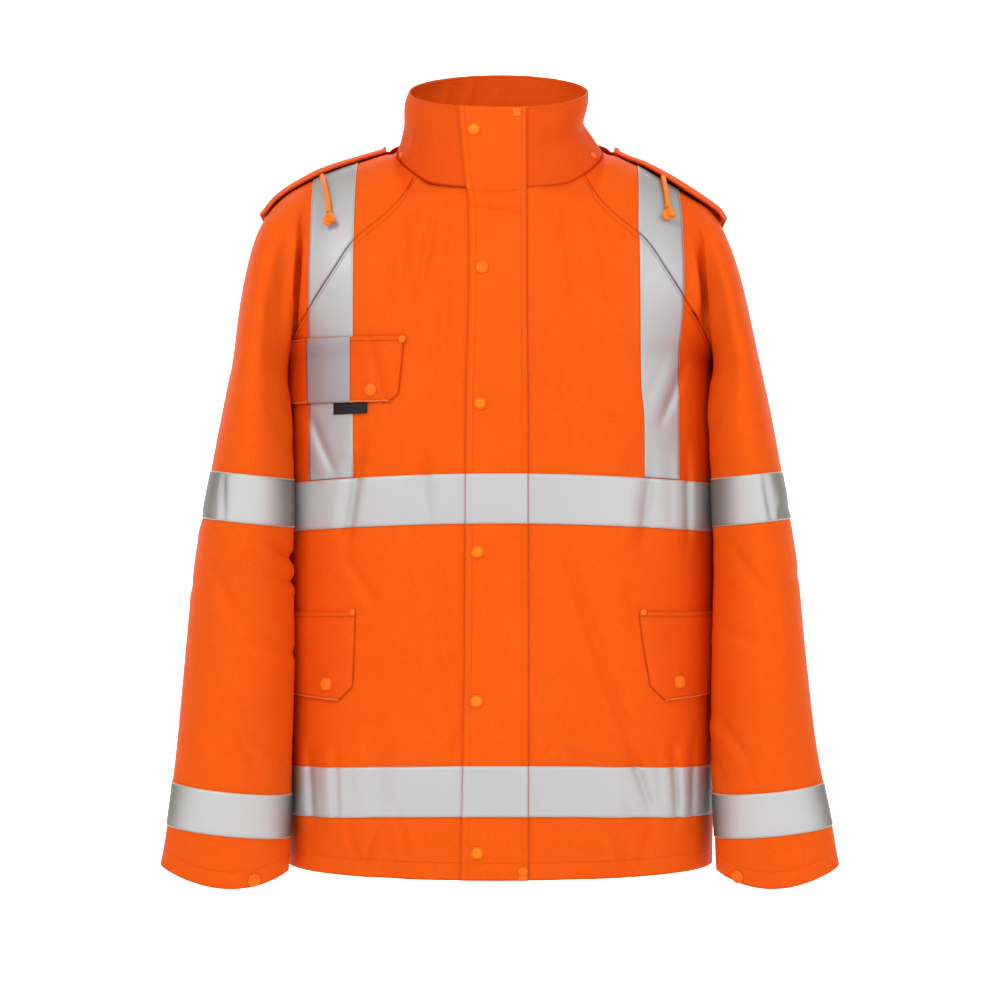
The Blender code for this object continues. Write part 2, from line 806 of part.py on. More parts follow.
# Storm flap, over both fronts and the collar
FLAP_LIFT = 0.0006
FLAP_WALL = 0.0018
points = []
rows = []
for z in BODY_ROWS + FRONT_TOP_ROWS:
    row = []
    for x in (column(FLAP_EDGES, z, 1), FRONT_EDGE, column(FLAP_EDGES, z, 2)):
        row.append(len(points))
        points.append(torso_point(x, z, False))
    rows.append(row)
for share in COLLAR_SHARES:
    angles = collar_columns(share)
    row = []
    for angle in (angles[-2], angles[0], angles[1]):
        row.append(len(points))
        points.append(collar_point(angle, share))
    rows.append(row)
faces = strip(rows, [[0, 1, 2] for _ in rows])
flap = (points, faces)
flap_normals = normals_of(points, faces)
solid("storm_flap", points, faces, FLAP_LIFT, FLAP_LIFT + FLAP_WALL, "hivis_orange", 0.0, flap_normals)
on_flap = FLAP_LIFT + FLAP_WALL + LIFT
for band, (low, high) in (("hem", HEM_BAND), ("chest", CHEST_BAND)):
    solid(
        f"tape_{band}_flap", points, row_faces(faces, rows, low, high), on_flap, on_flap + TAPE,
        "reflective_silver", SEAM, flap_normals,
    )
for name, x, z in FLAP_SNAPS:
    snap(name, flap, x, z, on_flap)
snap("snap_collar", flap, -0.0259, 0.0245, on_flap)

# Pocket flaps, each with a cut corner at the bottom
POCKET_WALL = 0.0015
CHEST_FLAP_LIFT = 0.0013
HIP_FLAP_LIFT = 0.0005
CHEST_CUT = 0.0080
HIP_CUT = 0.0140


def cut_corner(points, normals, faces, corner, size):
    """Replaces a corner of a panel by a short slanted edge."""
    touching = [face for face in faces if corner in face]
    rest = [face for face in faces if corner not in face]
    ring = []
    for face in touching:
        at = face.index(corner)
        ring.append((face[(at + 1) % 3], face[(at + 2) % 3]))
    ring.sort(key=lambda pair: pair[0] in {other[1] for other in ring})
    first = ring[0][0]
    last = ring[-1][1]
    fresh = []
    for end in (first, last):
        reach = (points[end] - points[corner]).length
        share = min(0.9, size / reach)
        fresh.append(len(points))
        points.append(points[corner].lerp(points[end], share))
        normals.append(normals[corner].lerp(normals[end], share).normalized())
    rest.append((fresh[0], first, ring[0][1]))
    rest.append((fresh[0], ring[0][1], fresh[1]))
    for start, end in ring[1:]:
        rest.append((fresh[1], start, end))
    return rest


def slide(points, normals, corner, towards, share):
    points[corner] = points[corner].lerp(points[towards], share)
    normals[corner] = normals[corner].lerp(normals[towards], share).normalized()


points, faces, grid, rows = fronts[-1]
normals = normals_of(points, faces)
points = [point.copy() for point in points]
keep = {
    corner
    for (level, index), corner in grid.items()
    if 13 <= level <= 17 and (index in ("near", "end") or (isinstance(index, int) and index >= 3))
}
chest = within(faces, keep)
slide(points, normals, grid[13, 3], grid[13, 4], 0.20)
chest = cut_corner(points, normals, chest, grid[13, 3], CHEST_CUT)
solid(
    "chest_pocket_flap", points, chest, CHEST_FLAP_LIFT, CHEST_FLAP_LIFT + POCKET_WALL,
    "hivis_orange", SEAM, normals,
)
on_chest = CHEST_FLAP_LIFT + POCKET_WALL + LIFT
keep = {
    corner
    for (level, index), corner in grid.items()
    if 13 <= level <= 17 and isinstance(index, int) and index >= 5
}
solid(
    "tape_chest_pocket", points, within(chest, keep), on_chest, on_chest + TAPE,
    "reflective_silver", SEAM, normals,
)
snap("snap_chest_pocket", (points, chest), -0.1271, -0.2366, on_chest - LIFT + 0.0003)
for side, snap_x, snap_z, slant in ((-1, -0.1714, -0.5270, 0.10), (1, 0.1773, -0.5253, 0.40)):
    points, faces, grid, rows = fronts[side]
    normals = normals_of(points, faces)
    points = [point.copy() for point in points]
    first = 4 if side > 0 else 5
    keep = {
        corner
        for (level, index), corner in grid.items()
        if 5 <= level <= 8 and (index in ("near", "side") or (isinstance(index, int) and index >= first))
    }
    hip = within(faces, keep)
    for level, share in ((5, slant), (6, slant * 0.85), (7, slant * 0.45)):
        slide(points, normals, grid[level, first], grid[level, first + 1], share)
    hip = cut_corner(points, normals, hip, grid[5, first], HIP_CUT)
    solid(
        f"hip_pocket_flap_{hand[side]}", points, hip, HIP_FLAP_LIFT, HIP_FLAP_LIFT + POCKET_WALL,
        "hivis_orange", SEAM * 2, normals,
    )
    snap(f"snap_hip_{hand[side]}", (points, hip), snap_x, snap_z, HIP_FLAP_LIFT + POCKET_WALL + 0.0003)

# Label tab, hanging from the chest pocket flap's bottom edge
points, faces, grid, rows = fronts[-1]
label = []
for z in (-0.2600, -0.2493):
    for x in (-0.1650, -0.1450, -0.1310):
        spot, normal = surface_at(points, faces, x, z, 0.0)
        label.append(spot)
label_faces = strip([[0, 1, 2], [3, 4, 5]], [[0, 1, 2], [0, 1, 2]])
solid("label_tab", label, label_faces, 0.0014, 0.0021, "label_black")

# Cuff snaps
for side, x, z in ((-1, -0.2428, -0.7175), (1, 0.2335, -0.7175)):
    points, faces, rows = sleeves[side]
    snap(f"snap_cuff_{hand[side]}", (points, faces), x, z, 0.0004)

# Hood, unfastened at the front: its ends lie along the shoulders and the rest hangs behind
HOOD_HALF_WALL = 0.0006
HOOD_END = {-1: 0.70, 1: 0.40}
# share round the shoulder from the front seam, height over the sleeve
HOOD_STRIP = (
    (0.45, 0.0020),
    (0.50, 0.0020),
    (0.55, 0.0020),
    (0.60, 0.0020),
    (0.65, 0.0024),
    (0.67, 0.0056),
    (0.65, 0.0086),
    (0.60, 0.0092),
    (0.55, 0.0088),
    (0.50, 0.0080),
    (0.45, 0.0047),
)
# how much further forward each free end reaches, as a share round the sleeve cap
HOOD_REACH = {-1: 0.0, 1: 0.02}
HOOD_REACH_LIFT = 0.08
# angle round the neck, fold x, fold z, how far the outer layer stands off, rim drop
HOOD_BACK = (
    (91.0, 0.1220, -0.0130, 0.008, 0.001),
    (96.0, 0.1280, -0.0400, 0.009, 0.001),
    (103.0, 0.1370, -0.0780, 0.012, 0.002),
    (113.0, 0.1340, -0.1230, 0.018, 0.004),
    (125.0, 0.1220, -0.1680, 0.026, 0.006),
    (140.0, 0.0960, -0.2080, 0.034, 0.009),
    (158.0, 0.0520, -0.2420, 0.042, 0.013),
    (180.0, 0.0000, -0.2600, 0.046, 0.016),
)
HOOD_GAP = 0.0105
HOOD_SHARES = (0.0, 0.22, 0.48, 0.74, 0.93)


def over_back(x, z, lift):
    """Point this far behind whatever panel is outermost at this x and z."""
    found = []
    for surface in (back[:2], sleeves[1 if x > 0 else -1][:2]):
        try:
            found.append(surface_at(*surface, x, z, 0.0, False))
        except TypeError:
            continue
    spot, normal = max(found, key=lambda pair: pair[0].y)
    return spot + normal * lift


def hood_strip_row(side, ring):
    points, faces, rows = sleeves[side]
    normals = normals_of(points, faces)
    low = int(ring)
    part = ring - low
    row = []
    for share, lift in HOOD_STRIP:
        reach = HOOD_REACH[side] * min(1.0, max(0.0, (ring - 2.0) / 2.0)) * (0.67 - share) / 0.22
        step = (share - reach) * COLUMNS
        first = int(step + 1e-9)
        beyond = step - first
        spots = []
        for line in (rows[low], rows[low + 1]):
            a = line[first]
            b = line[first + 1]
            base = points[a].lerp(points[b], beyond)
            out = normals[a].lerp(normals[b], beyond).normalized()
            spots.append(base + out * (lift + HOOD_REACH_LIFT * reach))
        row.append(spots[0].lerp(spots[1], part))
    return row


def hood_back_row(side, angle, fold_x, fold_z, stand, drop):
    neck = neck_point(angle)
    out = Vector((neck.x, neck.y, 0)).normalized() * 0.007
    neck += out
    neck.z += 0.003
    inner = []
    outer = []
    for share in HOOD_SHARES:
        x = neck.x + share * (fold_x - neck.x)
        z = neck.z + share * (fold_z - neck.z)
        if share == 0:
            inner.append(neck.copy())
            outer.append(neck + out.normalized() * stand * 0.8 + Vector((0, 0, 0.004 - drop)))
        else:
            inner.append(over_back(x, z, HOOD_GAP))
            away = stand * (0.55 + 0.75 * share - 0.55 * share**3)
            outer.append(over_back(x, z, HOOD_GAP + away))
    fold = over_back(fold_x, fold_z, HOOD_GAP + stand * 0.30)
    fold.z -= 0.012
    row = inner + [fold] + list(reversed(outer))
    return [Vector((side * point.x, point.y, point.z)) for point in row]


hood_rows = []
for side in (-1, 1):
    part = [hood_strip_row(side, ring) for ring in (6.0 + HOOD_END[side], 6.0, 5.0, 4.0, 3.0, 2.0, 1.0)]
    part += [hood_back_row(side, *values) for values in HOOD_BACK]
    hood_rows.append(part)
joined = hood_rows[0] + list(reversed(hood_rows[1][:-1]))
points = []
rows = []
for line in joined:
    row = []
    for point in line:
        row.append(len(points))
        points.append(point)
    rows.append(row)
faces = strip(rows, [list(range(len(row))) for row in rows])
solid("hood", points, faces, -HOOD_HALF_WALL, HOOD_HALF_WALL, "hivis_orange")

# Free ends of the hood's draw cord, each with its knot
CORD_LIFT = 0.0009 + 0.0006 + CORD_HALF
CORD_STEPS = 14
for name, (side, path, knot) in CORDS.items():
    points, faces, rows = sleeves[side]
    spots = []
    for step in range(CORD_STEPS + 1):
        along = step / CORD_STEPS * (len(path) - 1)
        low = min(int(along), len(path) - 2)
        share = along - low
        x = path[low][0] + share * (path[low + 1][0] - path[low][0])
        z = path[low][1] + share * (path[low + 1][1] - path[low][1])
        base, normal = surface_at(points, faces, side * x, z, CORD_LIFT)
        rise = 0.003 * max(0.0, (step / CORD_STEPS - 0.7) / 0.3)
        spots.append(base + Vector((0, -rise, 0)))
    for turn in range(3):
        spots = [spots[0]] + [
            before.lerp(after, 0.5).lerp(spot, 0.5)
            for before, spot, after in zip(spots, spots[1:], spots[2:])
        ] + [spots[-1]]
    curve = bpy.data.curves.new(f"drawcord_{name}", "CURVE")
    curve.dimensions = "3D"
    line = curve.splines.new("POLY")
    line.points.add(len(spots) - 1)
    for point, spot in zip(line.points, spots):
        point.co = (*spot, 1.0)
    curve.bevel_depth = CORD_HALF
    curve.bevel_resolution = 2
    curve.use_fill_caps = True
    curve.materials.append(paints["cord_orange"])
    cord = bpy.data.objects.new(f"drawcord_{name}", curve)
    bpy.context.collection.objects.link(cord)
    wide, deep, tall = KNOT
    profile = [
        (wide * math.sin(math.pi * share), tall * (1 - math.cos(math.pi * share)))
        for share in (0.14, 0.3, 0.5, 0.7, 0.86)
    ]
    top = profile[-1][1]
    down = (spots[-1] - spots[-2]).normalized()
    middle = spots[-1] + down * (top + 0.0003)
    lathe(f"knot_{name}", middle, -down, profile, 10, "cord_orange")
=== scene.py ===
import math

import bmesh
import bpy
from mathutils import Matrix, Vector
from mathutils.bvhtree import BVHTree


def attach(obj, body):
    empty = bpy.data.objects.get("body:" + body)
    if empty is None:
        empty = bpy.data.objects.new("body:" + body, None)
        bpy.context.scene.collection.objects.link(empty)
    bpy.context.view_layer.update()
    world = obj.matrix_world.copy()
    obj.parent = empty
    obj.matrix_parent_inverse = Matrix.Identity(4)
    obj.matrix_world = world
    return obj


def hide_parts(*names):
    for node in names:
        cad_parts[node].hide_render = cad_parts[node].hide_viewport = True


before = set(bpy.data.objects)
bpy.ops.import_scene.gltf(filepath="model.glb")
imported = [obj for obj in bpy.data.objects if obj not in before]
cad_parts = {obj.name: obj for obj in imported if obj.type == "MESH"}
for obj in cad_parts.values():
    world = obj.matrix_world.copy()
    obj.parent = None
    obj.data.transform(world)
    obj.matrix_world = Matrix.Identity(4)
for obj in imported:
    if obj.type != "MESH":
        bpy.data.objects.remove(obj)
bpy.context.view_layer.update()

print("frame loaded")

# the garment's form, in metres: +X is the wearer's left, -Y the front, +Z up
# height and x of the raglan seams' lower part, the same in front and behind
raglanSide = (
    (-0.205, 0.2185),
    (-0.195, 0.2140),
    (-0.1835, 0.2085),
    (-0.168, 0.1995),
    (-0.155, 0.1900),
    (-0.120, 0.1670),
    (-0.087, 0.1450),
)
torso = {
    # height, half width, depth in front, depth behind, droop of a row at the side
    "girth": (
        (-0.717, 0.2180, 0.155, 0.140, -0.003),
        (-0.655, 0.2185, 0.155, 0.140, 0.008),
        (-0.600, 0.2190, 0.154, 0.139, 0.008),
        (-0.400, 0.2220, 0.151, 0.136, 0.009),
        (-0.320, 0.2230, 0.150, 0.136, 0.010),
        (-0.250, 0.2215, 0.149, 0.137, 0.001),
        (-0.205, 0.2185, 0.147, 0.137, 0.000),
        (-0.180, 0.2330, 0.146, 0.136, 0.000),
        (-0.155, 0.2500, 0.145, 0.135, 0.000),
        (-0.120, 0.2700, 0.144, 0.132, 0.000),
        (-0.087, 0.2850, 0.141, 0.129, 0.000),
        (-0.037, 0.3000, 0.134, 0.124, 0.000),
        (0.060, 0.3100, 0.125, 0.120, 0.000),
    ),
    # x and the shoulder's height there
    "shoulder": (
        (0.000, 0.0450),
        (0.108, 0.0130),
        (0.144, 0.0015),
        (0.180, -0.0110),
        (0.216, -0.0320),
        (0.245, -0.0600),
        (0.262, -0.1100),
        (0.300, -0.2600),
    ),
    # height and x of the raglan seam, in front and behind
    "raglan": {
        False: raglanSide + ((-0.060, 0.1140), (-0.040, 0.0965)),
        True: raglanSide + ((-0.050, 0.1180), (-0.010, 0.0950)),
    },
    # where each seam turns to the neck: height, mark there, mark at the neck
    "neckTie": {False: (-0.040, 0.0965, 0.0858), True: (-0.010, 0.0950, 0.0812)},
    "hem": -0.717,
    "armpit": -0.205,
    "yoke": -0.200,
    "sidePower": 2.5,
    "yokePower": 2.2,
    "frontEdge": -0.013,
    "flatMark": 0.19,  # up to here a mark is the same as x
    "sideMark": 0.250,  # the mark at the side seam
    "sideRound": 0.8,
    "droopTo": 0.22,
    "cloth": 0.0015,
}
neck = {
    "half": 0.106,
    "front": 0.105,
    "back": 0.090,
    "raglan": {False: 54.0, True: 130.0},  # angle of each raglan seam, in front and behind
    # angle round the neck and height of its seam
    "seam": (
        (0.0, -0.0370),
        (39.0, -0.0286),
        (51.0, -0.0193),
        (67.0, -0.0058),
        (90.0, 0.0120),
        (130.0, 0.0300),
        (180.0, 0.0400),
    ),
}


# value in a table's column at this key, along a smooth curve through its rows
def lookUp(rows, key, which):
    if key <= rows[0][0]:
        return rows[0][which]
    if key >= rows[-1][0]:
        return rows[-1][which]
    at = 0
    while rows[at + 1][0] < key:
        at += 1
    k1, k2 = rows[at][0], rows[at + 1][0]
    v1, v2 = rows[at][which], rows[at + 1][which]
    slope = (v2 - v1) / (k2 - k1)
    before = (v1 - rows[at - 1][which]) / (k1 - rows[at - 1][0]) if at > 0 else slope
    after = (rows[at + 2][which] - v2) / (rows[at + 2][0] - k2) if at + 2 < len(rows) else slope
    m1 = 0.0 if before * slope <= 0 else 2 * before * slope / (before + slope)
    m2 = 0.0 if after * slope <= 0 else 2 * after * slope / (after + slope)
    t = (key - k1) / (k2 - k1)
    t2 = t * t
    t3 = t2 * t
    span = k2 - k1
    return (
        (2 * t3 - 3 * t2 + 1) * v1
        + (t3 - 2 * t2 + t) * span * m1
        + (3 * t2 - 2 * t3) * v2
        + (t3 - t2) * span * m2
    )


def bump(share):
    return math.cos(min(abs(share), 1.0) * math.pi / 2) ** 2


def ease(low, high, value):
    share = min(1.0, max(0.0, (value - low) / (high - low)))
    return share * share * (3 - 2 * share)


# top x, bottom x, top z, bottom z, half width, depth inwards
frontFolds = (
    (-0.148, -0.155, -0.300, -0.385, 0.022, 0.0045),
    (-0.076, -0.080, -0.290, -0.400, 0.024, 0.0030),
    (0.196, 0.194, -0.290, -0.390, 0.020, -0.0040),
    (0.136, 0.146, -0.290, -0.400, 0.024, 0.0035),
    (0.126, 0.146, -0.590, -0.690, 0.022, 0.0045),
    (-0.165, -0.160, -0.590, -0.690, 0.020, -0.0040),
    (0.178, 0.182, -0.590, -0.680, 0.018, -0.0035),
    (-0.082, -0.050, -0.060, -0.240, 0.020, 0.0030),
    (-0.062, -0.110, -0.050, -0.200, 0.018, 0.0025),
    (0.075, 0.105, -0.060, -0.230, 0.022, 0.0025),
    (-0.125, -0.110, -0.560, -0.717, 0.022, 0.0040),
    (0.085, 0.070, -0.540, -0.717, 0.026, 0.0030),
)
backFolds = (
    (-0.060, -0.075, -0.330, -0.600, 0.030, 0.0045),
    (0.080, 0.060, -0.400, -0.700, 0.030, 0.0045),
    (-0.150, -0.130, -0.220, -0.380, 0.024, 0.0050),
    (0.150, 0.135, -0.230, -0.400, 0.024, 0.0045),
    (-0.130, -0.150, -0.560, -0.717, 0.022, 0.0040),
    (0.135, 0.150, -0.600, -0.717, 0.022, 0.0040),
)


def foldDepth(x, z, folds):
    depth = 0.0
    for topX, lowX, topZ, lowZ, half, deep in folds:
        along = (z - lowZ) / (topZ - lowZ)
        if 0 < along < 1:
            line = lowX + along * (topX - lowX)
            fade = math.sin(math.pi * along) ** 0.6
            if lowZ == torso["hem"] and along < 0.5:
                fade = max(fade, 0.8)
            depth += deep * bump((x - line) / half) * fade
        elif lowZ == torso["hem"] and z <= lowZ:
            depth += deep * bump((x - lowX) / half) * 0.8
    return depth


# finer creases: x and z of both ends, half width, depth
frontCreases = (
    (-0.136, -0.290, -0.152, -0.395, 0.0085, 0.0024),
    (-0.084, -0.045, -0.092, -0.142, 0.0060, 0.0011),
    (-0.106, -0.100, -0.112, -0.176, 0.0055, 0.0009),
    (-0.062, -0.052, -0.087, -0.178, 0.0065, 0.0012),
    (-0.046, -0.060, -0.060, -0.230, 0.0070, 0.0008),
    (-0.130, -0.180, -0.108, -0.262, 0.0060, 0.0010),
    (-0.074, -0.300, -0.069, -0.372, 0.0075, 0.0014),
    (-0.064, -0.402, -0.047, -0.556, 0.0120, 0.0012),
    (-0.190, -0.595, -0.186, -0.668, 0.0060, 0.0024),
    (-0.163, -0.590, -0.160, -0.664, 0.0070, 0.0018),
    (-0.150, -0.662, -0.138, -0.702, 0.0055, 0.0016),
    (-0.118, -0.672, -0.131, -0.712, 0.0055, 0.0014),
    (-0.100, -0.650, -0.088, -0.706, 0.0065, 0.0010),
    (0.069, -0.405, 0.102, -0.512, 0.0080, 0.0015),
    (0.099, -0.505, 0.134, -0.592, 0.0075, 0.0018),
    (0.128, -0.590, 0.152, -0.655, 0.0070, 0.0020),
    (0.172, -0.590, 0.176, -0.660, 0.0055, 0.0026),
    (0.193, -0.586, 0.191, -0.664, 0.0050, 0.0022),
    (0.148, -0.320, 0.140, -0.392, 0.0080, 0.0022),
    (0.186, -0.300, 0.187, -0.392, 0.0060, 0.0022),
    (0.094, -0.060, 0.112, -0.172, 0.0075, 0.0010),
    (0.062, -0.056, 0.074, -0.160, 0.0065, 0.0009),
    (0.186, -0.205, 0.160, -0.268, 0.0070, 0.0016),
    (-0.188, -0.262, -0.164, -0.318, 0.0070, 0.0016),
    (0.112, -0.668, 0.126, -0.714, 0.0060, 0.0014),
    (0.150, -0.664, 0.139, -0.705, 0.0060, 0.0012),
    (-0.060, -0.0500, -0.036, -0.0485, 0.0036, 0.0012),
    (0.124, -0.430, 0.138, -0.470, 0.0070, 0.0010),
    (-0.150, -0.405, -0.120, -0.452, 0.0080, 0.0010),
    (-0.036, -0.560, -0.046, -0.600, 0.0080, 0.0008),
    (0.060, -0.200, 0.074, -0.300, 0.0090, 0.0008),
)
backCreases = (
    (-0.170, -0.190, -0.110, -0.268, 0.0080, 0.0022),
    (0.174, -0.200, 0.120, -0.290, 0.0085, 0.0022),
    (-0.044, -0.290, -0.052, -0.520, 0.0110, 0.0016),
    (0.052, -0.330, 0.066, -0.610, 0.0110, 0.0016),
    (-0.180, -0.420, -0.120, -0.500, 0.0080, 0.0018),
    (0.182, -0.440, 0.128, -0.520, 0.0080, 0.0016),
    (-0.160, -0.590, -0.152, -0.700, 0.0070, 0.0020),
    (0.158, -0.600, 0.164, -0.705, 0.0070, 0.0020),
    (-0.090, -0.655, -0.102, -0.712, 0.0060, 0.0014),
    (0.020, -0.650, 0.028, -0.714, 0.0070, 0.0012),
)


# a ridge runs along one side of each crease, and both fade at its ends
creaseShape = {
    "strength": 1.55,
    "body": 1.4,
    "ridge": 0.45,
    "ridgeAt": 1.7,
    "ridgeHalf": 1.5,
    "reach": 3.4,
}


def creaseDepth(x, z, creases):
    depth = 0.0
    for x1, z1, x2, z2, half, deep in creases:
        alongX, alongZ = x2 - x1, z2 - z1
        length = math.hypot(alongX, alongZ)
        share = ((x - x1) * alongX + (z - z1) * alongZ) / length**2
        away = ((x - x1) * alongZ - (z - z1) * alongX) / length
        if -0.2 < share < 1.2 and abs(away) < half * creaseShape["reach"]:
            fade = ease(-0.2, 0.25, share) * (1 - ease(0.7, 1.2, share))
            ridge = bump((away - creaseShape["ridgeAt"] * half) / (creaseShape["ridgeHalf"] * half))
            form = bump(away / half) - creaseShape["ridge"] * ridge
            depth += creaseShape["strength"] * deep * fade * form
    return depth


def torsoDepth(x, z, behind):
    width = lookUp(torso["girth"], z, 1)
    power = torso["sidePower"]
    depth = lookUp(torso["girth"], z, 3 if behind else 2)
    depth *= max(0.0, 1 - (abs(x) / width) ** power) ** (1 / power)
    if z > torso["yoke"]:
        top = lookUp(torso["shoulder"], abs(x), 1)
        share = min(1.0, (z - torso["yoke"]) / (top - torso["yoke"]))
        depth *= (1 - share ** torso["yokePower"]) ** (1 / torso["yokePower"])
    return depth


def sideTurn(x, width):
    return math.asin(min(1.0, (abs(x) / width) ** (1 / torso["sideRound"])))


# the mark that stands for this x: a distance round from the centre line
def markOf(x, z):
    flat = torso["flatMark"]
    if abs(x) <= flat:
        return abs(x)
    width = lookUp(torso["girth"], z, 1)
    low = sideTurn(flat, width)
    return flat + (torso["sideMark"] - flat) * (sideTurn(x, width) - low) / (math.pi / 2 - low)


# point of the body cloth at this mark and height, with its folds and creases
def torsoPoint(side, mark, z, behind=False):
    width = lookUp(torso["girth"], z, 1)
    flat = torso["flatMark"]
    x = mark
    if mark > flat:
        low = sideTurn(flat, width)
        turn = low + (mark - flat) / (torso["sideMark"] - flat) * (math.pi / 2 - low)
        x = width * math.sin(min(turn, math.pi / 2)) ** torso["sideRound"]
    droop = lookUp(torso["girth"], z, 4)
    zed = z - droop * (min(abs(x), torso["droopTo"]) / torso["droopTo"]) ** 2
    if mark <= flat or zed > torso["yoke"]:
        depth = torsoDepth(x, zed, behind)
    else:
        full = lookUp(torso["girth"], zed, 3 if behind else 2)
        depth = full * math.cos(min(turn, math.pi / 2)) ** torso["sideRound"]
    fade = ease(0.02, 0.06, depth)
    depth -= fade * foldDepth(side * x, zed, backFolds if behind else frontFolds)
    creases = creaseDepth(side * x, zed, backCreases if behind else frontCreases)
    depth -= creaseShape["body"] * fade * creases
    return Vector((side * x, depth if behind else -depth, zed))


def neckPoint(angle):
    turn = math.radians(angle)
    deep = neck["front"] if math.cos(turn) > 0 else neck["back"]
    around = abs((angle + 180) % 360 - 180)
    height = lookUp(neck["seam"], around, 1)
    return Vector((neck["half"] * math.sin(turn), -deep * math.cos(turn), height))


# a panel is a function of two shares, a across and b up, drawn as a fine grid
def normalAt(surface, a, b):
    step = 0.004
    a0, a1 = max(0.0, a - step), min(1.0, a + step)
    b0, b1 = max(0.0, b - step), min(1.0, b + step)
    across = surface(a1, b) - surface(a0, b)
    up = surface(a, b1) - surface(a, b0)
    return across.cross(up).normalized()


# the same panel moved out by lift, and by its small relief
def raised(surface, lift, relief=None):
    def moved(a, b):
        extra = relief(a, b) if relief else 0.0
        return surface(a, b) + normalAt(surface, a, b) * (lift + extra)

    return moved


# an object from a finished bmesh, smooth and in its material
def pieceFrom(shape, name, material):
    mesh = bpy.data.meshes.new(name)
    shape.to_mesh(mesh)
    shape.free()
    mesh.polygons.foreach_set("use_smooth", [True] * len(mesh.polygons))
    mesh.materials.append(material)
    piece = bpy.data.objects.new(name, mesh)
    bpy.context.collection.objects.link(piece)
    return piece


# lengths along a row of points, from its first one
def runningLength(points):
    total = [0.0]
    for first, second in zip(points, points[1:]):
        total.append(total[-1] + (second - first).length)
    return total


# a grid bent to the panel's surface, its wall inwards, its UVs in true metres from each edge
def drawPanel(name, surface, across, up, wall, material, weld=False):
    grid = bmesh.new()
    bmesh.ops.create_grid(grid, x_segments=across, y_segments=up, size=0.5)
    nearEdge = grid.loops.layers.uv.new("near")
    farEdge = grid.loops.layers.uv.new("far")
    spots = {}
    cell = {}
    for vert in grid.verts:
        key = (round((vert.co.x + 0.5) * across), round((vert.co.y + 0.5) * up))
        cell[vert] = key
        vert.co = surface(key[0] / across, key[1] / up)
        spots[key] = vert.co.copy()
    rows = [runningLength([spots[i, j] for i in range(across + 1)]) for j in range(up + 1)]
    columns = [runningLength([spots[i, j] for j in range(up + 1)]) for i in range(across + 1)]
    area = 0.0
    for face in grid.faces:
        area += face.calc_area()
        for loop in face.loops:
            i, j = cell[loop.vert]
            loop[nearEdge].uv = (rows[j][i], columns[i][j])
            loop[farEdge].uv = (rows[j][-1] - rows[j][i], columns[i][-1] - columns[i][j])
    if weld:
        bmesh.ops.remove_doubles(grid, verts=grid.verts[:], dist=0.00002)
    panel = pieceFrom(grid, name, material)
    shell = panel.modifiers.new("wall", "SOLIDIFY")
    shell.thickness = wall
    shell.offset = -1.0
    shell.use_even_offset = False
    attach(panel, "root")
    print(f"{name}: {area:.4f} square metres, longest row {max(row[-1] for row in rows):.3f}, "
          f"longest column {max(column[-1] for column in columns):.3f}")
    return panel


def splineMix(p0, p1, p2, p3, t):
    t2 = t * t
    t3 = t2 * t
    return 0.5 * (
        2 * p1
        + (p2 - p0) * t
        + (2 * p0 - 5 * p1 + 4 * p2 - p3) * t2
        + (3 * p1 - p0 - 3 * p2 + p3) * t3
    )


# a smooth panel through rows of points; rows from closedFrom on are closed rings
def throughLattice(rows, closedFrom=None):
    count = len(rows[0]) - 1

    def alongRow(line, at, closed):
        low = min(int(at), count - 1)
        part = at - low
        after = low + 2
        before = low - 1
        if closed:
            after = after if after <= count else after - count
            before = before if before >= 0 else before + count
        p1 = line[low]
        p2 = line[low + 1]
        p0 = line[before] if before >= 0 else p1 * 2 - p2
        p3 = line[after] if after <= count else p2 * 2 - p1
        return splineMix(p0, p1, p2, p3, part)

    def surface(a, b):
        at = b * (len(rows) - 1)
        low = min(int(at), len(rows) - 2)
        part = at - low
        spots = []
        for index in (low - 1, low, low + 1, low + 2):
            inside = min(max(index, 0), len(rows) - 1)
            closed = closedFrom is not None and inside >= closedFrom
            spots.append(alongRow(rows[inside], a * count, closed))
        if low == 0:
            spots[0] = spots[1] * 2 - spots[2]
        if low + 2 > len(rows) - 1:
            spots[3] = spots[2] * 2 - spots[1]
        return splineMix(*spots, part)

    return surface


# a new node; sockets holds a value or another node's output for each of its inputs
def addNode(material, kind, sockets, **values):
    node = material.node_tree.nodes.new(kind)
    for key, value in values.items():
        setattr(node, key, value)
    for key, value in sockets.items():
        if isinstance(value, bpy.types.NodeSocket):
            material.node_tree.links.new(value, node.inputs[key])
        else:
            node.inputs[key].default_value = value
    return node


def maths(material, operation, *values):
    sockets = dict(enumerate(values))
    return addNode(material, "ShaderNodeMath", sockets, operation=operation).outputs["Value"]


def noise(material, scale, detail=2.0, rough=0.5):
    place = addNode(material, "ShaderNodeTexCoord", {}).outputs["Object"]
    sockets = {"Vector": place, "Scale": scale, "Detail": detail, "Roughness": rough}
    return addNode(material, "ShaderNodeTexNoise", sockets).outputs["Fac"]


def smoothStep(material, value, low, high, start, end):
    sockets = {"Value": value, "From Min": low, "From Max": high, "To Min": start, "To Max": end}
    node = addNode(material, "ShaderNodeMapRange", sockets, interpolation_type="SMOOTHSTEP")
    return node.outputs["Result"]


def mixed(material, share, first, second):
    sockets = {"Factor": share, "A": first, "B": second}
    return addNode(material, "ShaderNodeMix", sockets, data_type="RGBA").outputs["Result"]


def tinted(colour, share):
    return (*[min(1.0, value * share) for value in colour], 1.0)


# true distances from a panel's near or far edges
def edgeDistance(material, edge):
    place = addNode(material, "ShaderNodeUVMap", {}, uv_map=edge).outputs["UV"]
    return addNode(material, "ShaderNodeSeparateXYZ", {"Vector": place}).outputs


